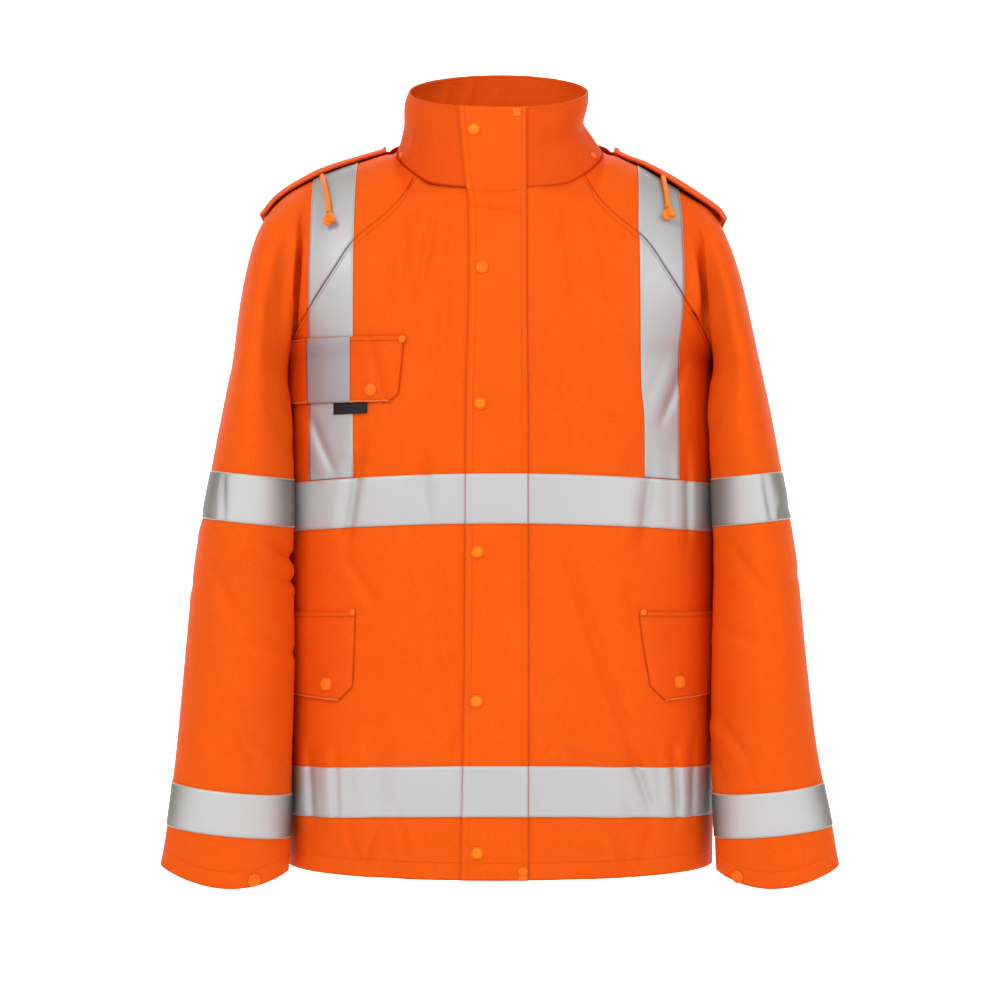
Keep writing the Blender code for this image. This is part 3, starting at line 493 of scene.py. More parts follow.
def newMaterial(name, rough, gloss, metal=0.0):
    material = bpy.data.materials.new(name)
    material.use_nodes = True
    shader = material.node_tree.nodes["Principled BSDF"]
    shader.inputs["Roughness"].default_value = rough
    shader.inputs["Specular IOR Level"].default_value = gloss
    shader.inputs["Metallic"].default_value = metal
    return material, shader


# small relief; each line is an edge, an axis, the distance in, a half width and a depth
def addRelief(material, shader, height, lines=(), distance=1.0):
    edges = {}
    for edge, axis, where, half, deep in lines:
        if edge not in edges:
            edges[edge] = edgeDistance(material, edge)
        away = maths(material, "ABSOLUTE", maths(material, "SUBTRACT", edges[edge][axis], where))
        height = maths(material, "ADD", height, smoothStep(material, away, 0.0, half, -deep, 0.0))
    sockets = {"Strength": 1.0, "Distance": distance, "Height": height}
    relief = addNode(material, "ShaderNodeBump", sockets)
    material.node_tree.links.new(relief.outputs["Normal"], shader.inputs["Normal"])


# coated cloth: satin skin, fine grain, soft waves and the pressed lines of its seams
clothLook = {
    "rough": 0.54,
    "gloss": 0.03,
    "cloud": (9.0, 9.0, 0.72),
    "tint": (0.90, 1.08),
    "grain": 620.0,
    "grainTint": 1.5,
    "grainHeight": 0.00008,
    "wave": (22.0, 2.5),
    "waveHeight": 0.0011,
    "rim": (0.0008, 0.0020, 0.75, 0.0),
}


def clothMaterial(name, colour, lines=(), pale=None):
    material, shader = newMaterial(name, clothLook["rough"], clothLook["gloss"])
    cloudy = noise(material, *clothLook["cloud"])
    grain = noise(material, clothLook["grain"])
    woven = maths(material, "MULTIPLY_ADD", grain, clothLook["grainTint"], cloudy)
    woven = maths(material, "SUBTRACT", woven, clothLook["grainTint"] / 2)
    skin = mixed(material, woven, *[tinted(colour, share) for share in clothLook["tint"]])
    if pale:
        inside = smoothStep(material, edgeDistance(material, "near")["Y"], *clothLook["rim"])
        skin = mixed(material, inside, skin, (*pale, 1.0))
    material.node_tree.links.new(skin, shader.inputs["Base Color"])
    small = maths(material, "MULTIPLY", grain, clothLook["grainHeight"])
    soft = maths(material, "MULTIPLY", noise(material, *clothLook["wave"]), clothLook["waveHeight"])
    addRelief(material, shader, maths(material, "ADD", small, soft), lines)
    return material


# reflective tape: grey glass-bead film with a bonded edge, and painted shade: its colour goes darker
# and browner where it turns away from the camera
tapeLook = {
    "rough": 0.5,
    "gloss": 0.3,
    "metal": 0.2,
    "border": (0.0005, 0.0016, 1.0, 0.0),
    "cloud": (14.0, 4.0),
    "tint": (0.93, 1.07),
    "beads": 900.0,
    "beadHeight": 0.00005,
    "waveHeight": 0.0014,
}


def tapeMaterial(name, face, side, turn, edge, lines=()):
    material, shader = newMaterial(name, tapeLook["rough"], tapeLook["gloss"], tapeLook["metal"])
    rims = [edgeDistance(material, rim)["Y"] for rim in ("near", "far")]
    border = smoothStep(material, maths(material, "MINIMUM", *rims), *tapeLook["border"])
    cloudy = noise(material, *tapeLook["cloud"])
    film = mixed(material, cloudy, *[tinted(face, share) for share in tapeLook["tint"]])
    # painted shade: the film blends towards the darker side colour as the surface turns from the camera
    facing = addNode(material, "ShaderNodeLayerWeight", {"Blend": 0.5}).outputs["Facing"]
    film = mixed(material, smoothStep(material, facing, *turn, 0.0, 1.0), film, (*side, 1.0))
    film = mixed(material, border, film, (*edge, 1.0))
    material.node_tree.links.new(film, shader.inputs["Base Color"])
    small = maths(material, "MULTIPLY", noise(material, tapeLook["beads"]), tapeLook["beadHeight"])
    soft = maths(material, "MULTIPLY", cloudy, tapeLook["waveHeight"])
    addRelief(material, shader, maths(material, "ADD", small, soft), lines)
    return material


def plainMaterial(name, colour, rough, grain=0.00005, scale=600.0, gloss=0.20):
    material, shader = newMaterial(name, rough, gloss)
    shader.inputs["Base Color"].default_value = (*colour, 1.0)
    addRelief(material, shader, noise(material, scale), distance=grain)
    return material


colours = {
    "body": (0.765, 0.092, 0.0054),
    "collar": (0.712, 0.078, 0.0052),
    "flap": (0.780, 0.095, 0.0052),
    "pocket": (0.745, 0.086, 0.0054),
    "pocketRim": (0.90, 0.30, 0.10),
    "hood": (0.765, 0.087, 0.0054),
    "flatSnap": (0.86, 0.150, 0.001),
    "snap": (0.88, 0.200, 0.001),
    "stud": (0.84, 0.150, 0.002),
    "label": (0.012, 0.012, 0.013),
    "cord": (0.92, 0.210, 0.010),
}
# colour of each tape face on, its painted shade where it turns away from the camera (darker and sooner
# on the sleeves), the start and end of that, and its edge
films = {
    "body": ((0.50, 0.50, 0.505), (0.30, 0.265, 0.225), (0.25, 1.0), (0.56, 0.49, 0.42)),
    "sleeve": ((0.53, 0.53, 0.53), (0.150, 0.137, 0.118), (0.16, 0.78), (0.56, 0.49, 0.42)),
    "pocket": ((0.35, 0.345, 0.375), (0.20, 0.18, 0.16), (0.15, 0.85), (0.42, 0.34, 0.30)),
    "brace": ((0.435, 0.44, 0.45), (0.25, 0.225, 0.195), (0.20, 0.95), (0.56, 0.49, 0.42)),
}
# stitched and sewn lines: edge, axis, distance in, half width, depth
hemLine = ("near", "Y", 0.0170, 0.0009, 0.0004)
nearSeam = ("near", "X", 0.0, 0.0022, 0.0007)
farSeam = ("far", "X", 0.0, 0.0022, 0.0007)
topStitch = (0.0055, 0.0010, 0.0006)
collarLines = (("near", "Y", 0.0, 0.0026, 0.0005), ("far", "Y", 0.0035, 0.0008, 0.0003))
flapLines = (hemLine, ("near", "X", 0.0068, 0.0009, 0.0004), ("far", "X", 0.0052, 0.0010, 0.0005))
pocketLines = (("far", "Y", 0.0052, 0.0012, 0.0009), ("near", "Y", 0.0034, 0.0008, 0.0004))
hoodLines = (("near", "Y", 0.0042, 0.0008, 0.0003), ("far", "Y", 0.0042, 0.0008, 0.0003))
braceSeam = (0.0, 0.0024, 0.0008)
braceStitch = (0.0050, 0.0011, 0.0006)
rightLines = (hemLine, nearSeam, ("near", "X", *topStitch))
leftLines = (hemLine, farSeam, ("far", "X", *topStitch))
frontCloth = {
    -1: clothMaterial("right front cloth", colours["body"], rightLines),
    1: clothMaterial("left front cloth", colours["body"], leftLines),
}
backCloth = clothMaterial("back cloth", colours["body"], (hemLine, nearSeam, farSeam))
sleeveCloth = clothMaterial("sleeve cloth", colours["body"], (hemLine, nearSeam, farSeam))
collarCloth = clothMaterial("collar cloth", colours["collar"], collarLines)
flapCloth = clothMaterial("flap cloth", colours["flap"], flapLines)
pocketCloth = clothMaterial("pocket cloth", colours["pocket"], pocketLines, colours["pocketRim"])
hoodCloth = clothMaterial("hood cloth", colours["hood"], hoodLines)
silver = tapeMaterial("silver tape", *films["body"])
sleeveSilver = tapeMaterial("sleeve tape", *films["sleeve"])
pocketSilver = tapeMaterial("pocket tape", *films["pocket"])
braceSilver = {}
for ends in ("near", "far", "near far"):
    lines = [(edge, "X", *braceSeam) for edge in ends.split()]
    if len(lines) == 1:
        lines.append((ends, "X", *braceStitch))
    braceSilver[ends] = tapeMaterial(f"brace tape {ends}", *films["brace"], lines)
flatSnapPlastic = plainMaterial("flat snap plastic", colours["flatSnap"], 0.42)
snapPlastic = plainMaterial("snap plastic", colours["snap"], 0.34)
studPlastic = plainMaterial("stud plastic", colours["stud"], 0.40)
labelBlack = plainMaterial("label cloth", colours["label"], 0.6, 0.0002, 900.0)
cordBraid = plainMaterial("cord braid", colours["cord"], 0.6, 0.0006, 500.0)
print("materials made")

# point of a front or back panel: away runs from its inner edge to its seam, b from hem to neck
def bodyPoint(side, away, b, behind=False):
    edge = 0.0 if behind else torso["frontEdge"] * side
    topX = away * abs(neckPoint(neck["raglan"][behind]).x)
    turn = math.degrees(math.asin(min(1.0, topX / neck["half"])))
    topZ = lookUp(neck["seam"], 180 - turn if behind else turn, 1)
    z = torso["hem"] + b * (topZ - torso["hem"])
    tieZ, tieMark, topMark = torso["neckTie"][behind]
    share = (z - tieZ) / (topZ - tieZ)
    if z <= torso["armpit"]:
        limit = torso["sideMark"]
    elif z > tieZ:
        limit = tieMark + share * (topMark - tieMark)
    else:
        limit = markOf(lookUp(torso["raglan"][behind], z, 1), z)
    mark = edge + away * (limit - edge)
    if z <= tieZ:
        return torsoPoint(side if mark > 0 else -side, abs(mark), z, behind)
    low = edge + away * (tieMark - edge)
    start = torsoPoint(side if low > 0 else -side, abs(low), tieZ, behind)
    rim = math.sqrt(1 - (min(abs(mark), topMark) / neck["half"]) ** 2)
    rim *= neck["back"] if behind else -neck["front"]
    return start.lerp(Vector((side * mark, rim, topZ)), share)


frontSettings = {"across": 84, "up": 210, "flat": (0.33, 0.83), "area": 0.188}
fronts = {}
for side, hand in ((-1, "right"), (1, "left")):

    def frontSurface(a, b, side=side):
        return bodyPoint(side, a if side > 0 else 1 - a, b)

    fronts[side] = drawPanel(
        f"jacket_front_{hand}", frontSurface, frontSettings["across"], frontSettings["up"],
        torso["cloth"], frontCloth[side],
    )
    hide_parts(f"front_{hand}")
print("fronts made")

backSettings = {"across": 150, "up": 200, "flat": (0.60, 0.86), "area": 0.376}


def backSurface(a, b):
    return bodyPoint(1 if a < 0.5 else -1, abs(a - 0.5) * 2, b, True)


backPanel = drawPanel(
    "jacket_back", backSurface, backSettings["across"], backSettings["up"], torso["cloth"], backCloth,
)
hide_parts("back")
print("back made")

sleeveSettings = {
    "across": 120,
    "up": 230,
    "flat": (0.45, 0.88),
    "area": 0.300,
    "columns": 20,
    "tilt": math.radians(6.0),
    "gap": 0.0035,
    "cuffRise": (0.0160, 0.0035, -0.690),  # rise, lean and the height where it starts
    "inset": 0.0003,
    "backShares": (0.36, 0.86),  # part of each ring that is seen from behind
    "seamAngle": -27,  # where the underarm seam lies round the arm; 180 is the outermost line
    "capAxis": (0.215, -0.02),  # x and y inside the cap, towards which its crease is pressed
    # ring crests from the neck to the armpit: x, y, z
    "crest": {
        -1: (
            (0.1060, 0.000, 0.0120),
            (0.1180, 0.000, 0.0095),
            (0.1300, 0.000, 0.0060),
            (0.1450, 0.000, 0.0012),
            (0.1670, -0.002, -0.0062),
            (0.1900, -0.004, -0.0155),
            (0.2220, -0.010, -0.0360),
            (0.2450, -0.022, -0.0690),
            (0.2595, -0.036, -0.1250),
            (0.2695, -0.047, -0.1870),
        ),
        1: (
            (0.1060, 0.000, 0.0120),
            (0.1180, 0.000, 0.0085),
            (0.1300, 0.000, 0.0030),
            (0.1450, 0.000, -0.0040),
            (0.1670, -0.002, -0.0170),
            (0.1900, -0.004, -0.0310),
            (0.2165, -0.010, -0.0505),
            (0.2330, -0.022, -0.0830),
            (0.2460, -0.036, -0.1290),
            (0.2615, -0.047, -0.1870),
        ),
    },
    # how far each ring past the brace has turned from the shoulder towards the arm
    "turn": {6: 0.32, 7: 0.60, 8: 0.84},
    # the crease along the arm: weight and place round the ring for each ring
    "armCrease": {5: (0.25, 0.10), 6: (0.8, 0.13), 7: (1.0, 0.16), 8: (0.9, 0.18)},
    "armCreaseFront": (0.0075, 0.11),  # depth, half share
    "armCreaseBack": (0.006, 0.12),
    # height, outer x, inner x, middle y, half depth
    "arm": {
        -1: (
            (-0.728, 0.3405, 0.2110, -0.083, 0.048),
            (-0.680, 0.3345, 0.2100, -0.080, 0.056),
            (-0.600, 0.3250, 0.2065, -0.076, 0.068),
            (-0.500, 0.3160, 0.2030, -0.072, 0.080),
            (-0.410, 0.3070, 0.2040, -0.068, 0.086),
            (-0.330, 0.2930, 0.2045, -0.062, 0.092),
            (-0.260, 0.2800, 0.2070, -0.054, 0.098),
            (-0.205, 0.2695, 0.2140, -0.045, 0.100),
        ),
        1: (
            (-0.728, 0.3400, 0.2160, -0.083, 0.048),
            (-0.680, 0.3340, 0.2150, -0.080, 0.056),
            (-0.600, 0.3185, 0.2120, -0.076, 0.068),
            (-0.500, 0.3070, 0.2110, -0.072, 0.080),
            (-0.410, 0.2985, 0.2120, -0.068, 0.086),
            (-0.330, 0.2855, 0.2105, -0.062, 0.092),
            (-0.260, 0.2730, 0.2070, -0.054, 0.098),
            (-0.205, 0.2615, 0.2140, -0.045, 0.100),
        ),
    },
    "rows": (
        -0.205, -0.228, -0.260, -0.290, -0.320, -0.3675, -0.405, -0.445,
        -0.490, -0.540, -0.590, -0.632, -0.6755, -0.703, -0.728,
    ),
    # share round the arm, height, half share, half height, depth
    "folds": (
        (0.19, -0.215, 0.060, 0.060, 0.0020),
        (0.14, -0.420, 0.080, 0.030, 0.0042),
        (0.30, -0.455, 0.090, 0.026, 0.0035),
        (0.16, -0.545, 0.070, 0.026, 0.0030),
        (0.62, -0.445, 0.090, 0.028, 0.0024),
        (0.72, -0.540, 0.090, 0.030, 0.0018),
    ),
}


def hermite(start, end, leave, arrive, share):
    s2 = share * share
    s3 = s2 * share
    return (
        (2 * s3 - 3 * s2 + 1) * start
        + (s3 - 2 * s2 + share) * leave
        + (3 * s2 - 2 * s3) * end
        + (s3 - s2) * arrive
    )


def seamPoint(ring, behind):
    if ring == 0:
        return neckPoint(neck["raglan"][behind])
    z, x = torso["raglan"][behind][9 - ring]
    if ring == 9:
        return torsoPoint(1, torso["sideMark"], z, behind)
    return torsoPoint(1, markOf(x, z), z, behind)


def shoulderRing(side, ring, share):
    behind = share > 0.5
    along = 2 * (1 - share) if behind else 2 * share
    if ring == 0:
        low = neck["raglan"][behind]
        return neckPoint(low + along * (90 - low))
    start = seamPoint(ring, behind)
    crest = Vector(sleeveSettings["crest"][side][ring])
    rise = crest.z - start.z
    step = 0.004
    slope = torsoDepth(start.x, start.z + step, behind) - torsoDepth(start.x, start.z, behind)
    slope *= (1 if behind else -1) / step
    pull = 1.5  # how long the curve keeps its direction at each end
    leave = Vector((crest.x - start.x, slope * pull * rise, pull * rise))
    arrive = Vector((0, pull * (crest.y - start.y), 0))
    return hermite(start, crest, leave, arrive, along)


# keeps a point outside the body cloth
def pushOut(point, gap):
    z = min(point.z, torso["armpit"])
    power = torso["sidePower"]
    full = lookUp(torso["girth"], z, 3 if point.y > 0 else 2) + gap
    width = lookUp(torso["girth"], z, 1) + gap
    inside = (abs(point.x) / width) ** power + (abs(point.y) / full) ** power
    if inside >= 1:
        return point
    grow = inside ** (-1 / power)
    return Vector((point.x * grow, point.y * grow, point.z))


def armRing(side, z, share):
    form = sleeveSettings["arm"][side]
    outer, inner, middle, deep = (lookUp(form, z, which) for which in (1, 2, 3, 4))
    seam = sleeveSettings["seamAngle"]
    toCrest, fromCrest = 2 * (180 - seam), 2 * (180 + seam)
    turn = math.radians(seam + toCrest * share if share < 0.5 else 180 + fromCrest * (share - 0.5))
    dent = 0.0
    for at, height, halfShare, halfHeight, depth in sleeveSettings["folds"]:
        dent += depth * bump((share - at) / halfShare) * bump((z - height) / halfHeight)
    along = -((outer - inner) / 2 - dent) * math.cos(turn)
    x = (outer + inner) / 2 + along * math.cos(sleeveSettings["tilt"])
    y = middle - (deep - dent) * math.sin(turn)
    rise, lean, start = sleeveSettings["cuffRise"]
    low = max(0.0, (start - z) / (start - sleeveSettings["rows"][-1]))
    up = low * (rise + lean * math.cos(turn)) * math.cos(turn) ** 2
    up += along * math.sin(sleeveSettings["tilt"])
    return pushOut(Vector((x, y, z + up)), sleeveSettings["gap"])


def armCrease(ring, share):
    weight, centre = sleeveSettings["armCrease"].get(ring, (0.0, 0.2))
    depth = 0.0
    for key, at in (("armCreaseFront", share), ("armCreaseBack", 1 - share)):
        deep, half = sleeveSettings[key]
        depth += deep * bump((at - centre) / half)
    return weight * depth


# ring of the sleeve between the neck, ring 0, and the armpit, ring 9
def capRing(side, ring, share):
    if ring <= 5:
        return shoulderRing(side, ring, share)
    if ring == 9:
        if share in (0.0, 1.0):
            return torsoPoint(1, torso["sideMark"], torso["armpit"])
        return armRing(side, torso["armpit"], share)
    turn = sleeveSettings["turn"][ring]
    point = shoulderRing(side, 5, share).lerp(capRing(side, 9, share), turn)
    behind = share > 0.5
    atSeam = shoulderRing(side, 5, 1.0 if behind else 0.0).lerp(capRing(side, 9, 0.0), turn)
    atCrest = shoulderRing(side, 5, 0.5).lerp(capRing(side, 9, 0.5), turn)
    weight = math.sin(math.pi * share) ** 0.8
    point += (Vector(sleeveSettings["crest"][side][ring]) - atCrest) * weight
    point += (seamPoint(ring, behind) - atSeam) * (1 - weight)
    away = point - Vector((*sleeveSettings["capAxis"], point.z))
    return point - away.normalized() * armCrease(ring, share)


def sleeveLattice(side):
    columns = sleeveSettings["columns"]
    rows = []
    for ring in range(10):
        rows.append([capRing(side, ring, step / columns) for step in range(columns + 1)])
    for z in sleeveSettings["rows"][1:]:
        line = [armRing(side, z, step / columns) for step in range(columns)]
        rows.append(line + [line[0].copy()])
    return [[Vector((side * point.x, point.y, point.z)) for point in row] for row in rows]


# creases of each sleeve, seen from the front or from behind: x and z of both ends, half width, depth
sleeveCreases = {
    -1: {
        False: (
            (-0.226, -0.386, -0.196, -0.412, 0.0065, 0.0026),
            (-0.216, -0.424, -0.197, -0.428, 0.0055, 0.0020),
            (-0.290, -0.402, -0.244, -0.480, 0.0100, 0.0018),
            (-0.246, -0.480, -0.200, -0.500, 0.0080, 0.0018),
            (-0.262, -0.572, -0.236, -0.618, 0.0060, 0.0022),
            (-0.248, -0.576, -0.214, -0.602, 0.0060, 0.0018),
            (-0.1975, -0.070, -0.2095, -0.214, 0.0042, 0.0078),
            (-0.232, -0.080, -0.226, -0.200, 0.0080, 0.0005),
            (-0.250, -0.130, -0.238, -0.240, 0.0090, 0.0005),
            (-0.272, -0.318, -0.270, -0.372, 0.0060, 0.0012),
            (-0.300, -0.480, -0.306, -0.600, 0.0100, 0.0014),
            (-0.230, -0.240, -0.206, -0.300, 0.0080, 0.0008),
        ),
        True: (
            (-0.300, -0.360, -0.226, -0.404, 0.0090, 0.0012),
            (-0.306, -0.430, -0.228, -0.440, 0.0085, 0.0014),
            (-0.240, -0.120, -0.222, -0.230, 0.0090, 0.0022),
            (-0.290, -0.560, -0.250, -0.610, 0.0080, 0.0018),
        ),
    },
    1: {
        False: (
            (0.216, -0.560, 0.244, -0.600, 0.0060, 0.0022),
            (0.214, -0.602, 0.222, -0.622, 0.0050, 0.0016),
            (0.288, -0.430, 0.302, -0.512, 0.0090, 0.0014),
            (0.1985, -0.084, 0.2045, -0.162, 0.0044, 0.0070),
            (0.222, -0.090, 0.220, -0.190, 0.0080, 0.0005),
            (0.240, -0.150, 0.226, -0.260, 0.0090, 0.0005),
            (0.222, -0.232, 0.206, -0.292, 0.0070, 0.0008),
            (0.226, -0.390, 0.262, -0.440, 0.0080, 0.0016),
            (0.218, -0.470, 0.256, -0.486, 0.0080, 0.0014),
            (0.258, -0.320, 0.268, -0.372, 0.0070, 0.0012),
        ),
        True: (
            (0.290, -0.350, 0.222, -0.396, 0.0090, 0.0012),
            (0.298, -0.420, 0.228, -0.452, 0.0085, 0.0014),
            (0.232, -0.130, 0.218, -0.240, 0.0090, 0.0022),
            (0.288, -0.550, 0.246, -0.596, 0.0080, 0.0018),
        ),
    },
}
sleeveRows = {side: sleeveLattice(side) for side in (-1, 1)}
rowCount = len(sleeveRows[1]) - 1


# share runs from the front seam over the arm to the back seam, at from the neck to the cuff
def sleeveSurface(side):
    smooth = throughLattice(sleeveRows[side], 9)

    def surface(share, at):
        point = smooth(share, at)
        low, high = sleeveSettings["backShares"]
        behind = low < share < high if at > 0.4 else share > 0.5
        depth = creaseDepth(point.x, point.z, sleeveCreases[side][behind])
        if abs(depth) < 0.00002:  # nothing to press in
            return point
        step = 0.01
        along = smooth(min(1.0, share + step), at) - smooth(max(0.0, share - step), at)
        down = smooth(share, min(1.0, at + step)) - smooth(share, max(0.0, at - step))
        normal = along.cross(down).normalized() * -side
        return point - normal * depth

    return surface


sleeves = {side: sleeveSurface(side) for side in (-1, 1)}
sleevePanels = {}
for side, hand in ((-1, "right"), (1, "left")):

    def facing(a, b, side=side):
        inset = sleeveSettings["inset"] * (1 - 2 * a) + a if (1 - b) * rowCount < 9 else a
        return sleeves[side](1 - inset if side < 0 else inset, 1 - b)

    sleevePanels[side] = drawPanel(
        f"jacket_sleeve_{hand}", facing, sleeveSettings["across"], sleeveSettings["up"],
        torso["cloth"], sleeveCloth, weld=True,
    )
    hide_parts(f"sleeve_{hand}")
print("sleeves made")

collarSettings = {
    "across": 150,
    "up": 26,
    "flat": (0.66, 0.085),
    "area": 0.044,
    "wall": 0.0020,
    "slit": 0.3,  # degrees left open on each side of the front edge
    "rim": (0.076, -0.029),  # height of the rim at the sides, and how it dips in front
    # share of the height, half width, middle x, depth in front, depth behind
    "form": (
        (0.00, 0.1060, 0.0000, 0.1050, 0.0900),
        (0.25, 0.0985, -0.0030, 0.1010, 0.0875),
        (0.50, 0.0925, -0.0062, 0.0985, 0.0865),
        (0.80, 0.0945, -0.0038, 0.0965, 0.0860),
        (1.00, 0.0925, -0.0015, 0.0950, 0.0850),
    ),
}


def collarPoint(angle, share):
    turn = math.radians(angle)
    form = collarSettings["form"]
    deep = lookUp(form, share, 3 if math.cos(turn) > 0 else 4)
    low = neckPoint(angle).z
    high = collarSettings["rim"][0] + collarSettings["rim"][1] * math.cos(turn)
    x = lookUp(form, share, 2) + lookUp(form, share, 1) * math.sin(turn)
    return Vector((x, -deep * math.cos(turn), low + share * (high - low)))


def collarSurface(a, b):
    half = lookUp(collarSettings["form"], b, 1)
    middle = lookUp(collarSettings["form"], b, 2)
    edge = math.degrees(math.asin((torso["frontEdge"] - middle) / half))
    return collarPoint(edge + collarSettings["slit"] + a * (360 - 2 * collarSettings["slit"]), b)


# angle round the neck, share of the height, half angle, half share, depth
collarCreases = (
    (158.0, 0.70, 5.0, 0.60, 0.0016),
    (176.0, 0.62, 4.0, 0.55, 0.0012),
    (195.0, 0.72, 5.0, 0.60, 0.0016),
    (212.0, 0.66, 4.5, 0.50, 0.0014),
    (138.0, 0.70, 5.0, 0.55, 0.0014),
    (236.0, 0.70, 5.0, 0.50, 0.0014),
    (30.0, 0.40, 7.0, 0.34, 0.0010),
    (52.0, 0.20, 7.0, 0.28, 0.0014),
    (306.0, 0.22, 8.0, 0.26, 0.0014),
    (322.0, 0.55, 7.0, 0.40, 0.0009),
    (286.0, 0.30, 9.0, 0.30, 0.0014),
    (76.0, 0.34, 9.0, 0.30, 0.0014),
)


def creasedCollar(a, b):
    point = collarSurface(a, b)
    angle = (a * (360 - 2 * collarSettings["slit"]) - 7.0) % 360  # 0 is the middle of the front
    depth = 0.0
    for at, share, halfAngle, halfShare, deep in collarCreases:
        depth += deep * bump((angle - at) / halfAngle) * bump((b - share) / halfShare)
    out = Vector((point.x, point.y, 0)).normalized()
    return point - out * depth


collar = drawPanel(
    "jacket_collar", creasedCollar, collarSettings["across"], collarSettings["up"],
    collarSettings["wall"], collarCloth,
)
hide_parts("collar")
print("collar made")

flapSettings = {
    "across": 20,
    "up": 260,
    "flat": (0.071, 0.780),
    "lift": 0.0024,
    "wall": 0.0018,
    "topZ": -0.040,  # from here on the flap follows the collar
    "collarEdges": (-0.0335, -0.0080, 0.0262),  # right edge, how it widens upwards, left edge
    # height, x of the right edge, x of the left edge
    "edges": (
        (-0.717, -0.0382, 0.0274),
        (-0.500, -0.0345, 0.0272),
        (-0.250, -0.0330, 0.0270),
        (-0.120, -0.0300, 0.0262),
        (-0.050, -0.0310, 0.0262),
        (-0.030, -0.0335, 0.0262),
    ),
    # x and z of both ends, half width, depth: the fold under the neck and two soft bends
    "creases": (
        (-0.034, -0.0515, 0.026, -0.0595, 0.0034, 0.0019),
        (-0.020, -0.0380, 0.022, -0.0420, 0.0050, 0.0008),
        (-0.012, -0.2000, -0.006, -0.2900, 0.0080, 0.0006),
        (0.012, -0.4100, 0.006, -0.5200, 0.0090, 0.0006),
    ),
}
flapColumns = 7
flapSteps = 50


# evenly spaced x across the flap
def flapSpread(low, high):
    return [low + part / (flapColumns - 1) * (high - low) for part in range(flapColumns)]


flapRows = []
for step in range(flapSteps):
    z = torso["hem"] + step / (flapSteps - 1) * (flapSettings["topZ"] - torso["hem"])
    spread = flapSpread(lookUp(flapSettings["edges"], z, 1), lookUp(flapSettings["edges"], z, 2))
    flapRows.append([torsoPoint(1 if x > 0 else -1, abs(x), z) for x in spread])
for share in (0.0, 0.25, 0.50, 0.80, 1.0):
    half, middle = (lookUp(collarSettings["form"], share, which) for which in (1, 2))
    low, widening, high = flapSettings["collarEdges"]
    spread = flapSpread(low + widening * share, high)
    angles = [math.degrees(math.asin((x - middle) / half)) for x in spread]
    flapRows.append([collarPoint(angle, share) for angle in angles])
flapBase = throughLattice(flapRows)


def flapLift(a, b):
    point = flapBase(a, b)
    return -creaseDepth(point.x, point.z, flapSettings["creases"])


flapFace = raised(flapBase, flapSettings["lift"], flapLift)
flap = drawPanel(
    "jacket_storm_flap", flapFace, flapSettings["across"], flapSettings["up"],
    flapSettings["wall"], flapCloth,
)
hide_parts("storm_flap")
print("storm flap made")

tapeSettings = {
    "lift": 0.0010,
    "wall": 0.0005,
    "sideGap": 0.0006,  # to the side seam
    "flapTuck": 0.001,  # under the storm flap
    "seamGap": 0.0003,  # between a brace and the raglan seam
    "shoulderGap": 0.0015,  # the same as a share of the sleeve's ring
    "flapGap": 0.003,  # a share of the storm flap's width
    # how fine each kind is drawn across and up, and its flat size
    "kinds": {
        "front": (90, 14, (0.28, 0.050)),
        "brace front": (90, 16, (0.24, 0.050)),
        "brace back": (70, 12, (0.24, 0.050)),
        "brace sleeve": (120, 14, (0.37, 0.050)),
        "upper": (120, 12, (0.44, 0.050)),
        "lower": (120, 12, (0.39, 0.050)),
        "back": (150, 12, (0.59, 0.050)),
        "flap": (24, 14, (0.060, 0.050)),
        "pocket": (30, 30, (0.046, 0.065)),
    },
}
bands = {"hem": (-0.6545, -0.605), "chest": (-0.368, -0.319)}
# both edges of each brace as height and distance from the centre, then its top end along the seam
braceEdges = {
    -1: (((-0.4, 0.145), (0.0, 0.145)), ((-0.4, 0.190), (0.0, 0.190)), -0.0875, 0.068),
    1: (
        ((-0.330, 0.1425), (-0.265, 0.1422), (-0.230, 0.1390), (-0.080, 0.1375)),
        ((-0.330, 0.1775), (-0.200, 0.1780), (-0.150, 0.1820), (-0.080, 0.1820)),
        -0.0805, 0.062,
    ),
}
braceFoot = -0.3182  # where each brace ends above the chest band
backBrace = {"mark": 0.145, "width": 0.045, "topZ": -0.0875, "topDrop": 0.068}
sleeveBraceRings = {-1: (3.0, 2.0), 1: (2.74, 1.91)}  # first ring and span over the shoulder
sleeveBands = {"upper": 13, "lower": 20}  # first row of the sleeve under each band


def addTape(name, base, kind, film=silver, weld=False):
    across, up, flat = tapeSettings["kinds"][kind]
    tape = drawPanel(f"jacket_{name}", base, across, up, tapeSettings["wall"], film, weld)
    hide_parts(name)


def mirrored(base):
    return lambda a, b: base(1 - a, b)


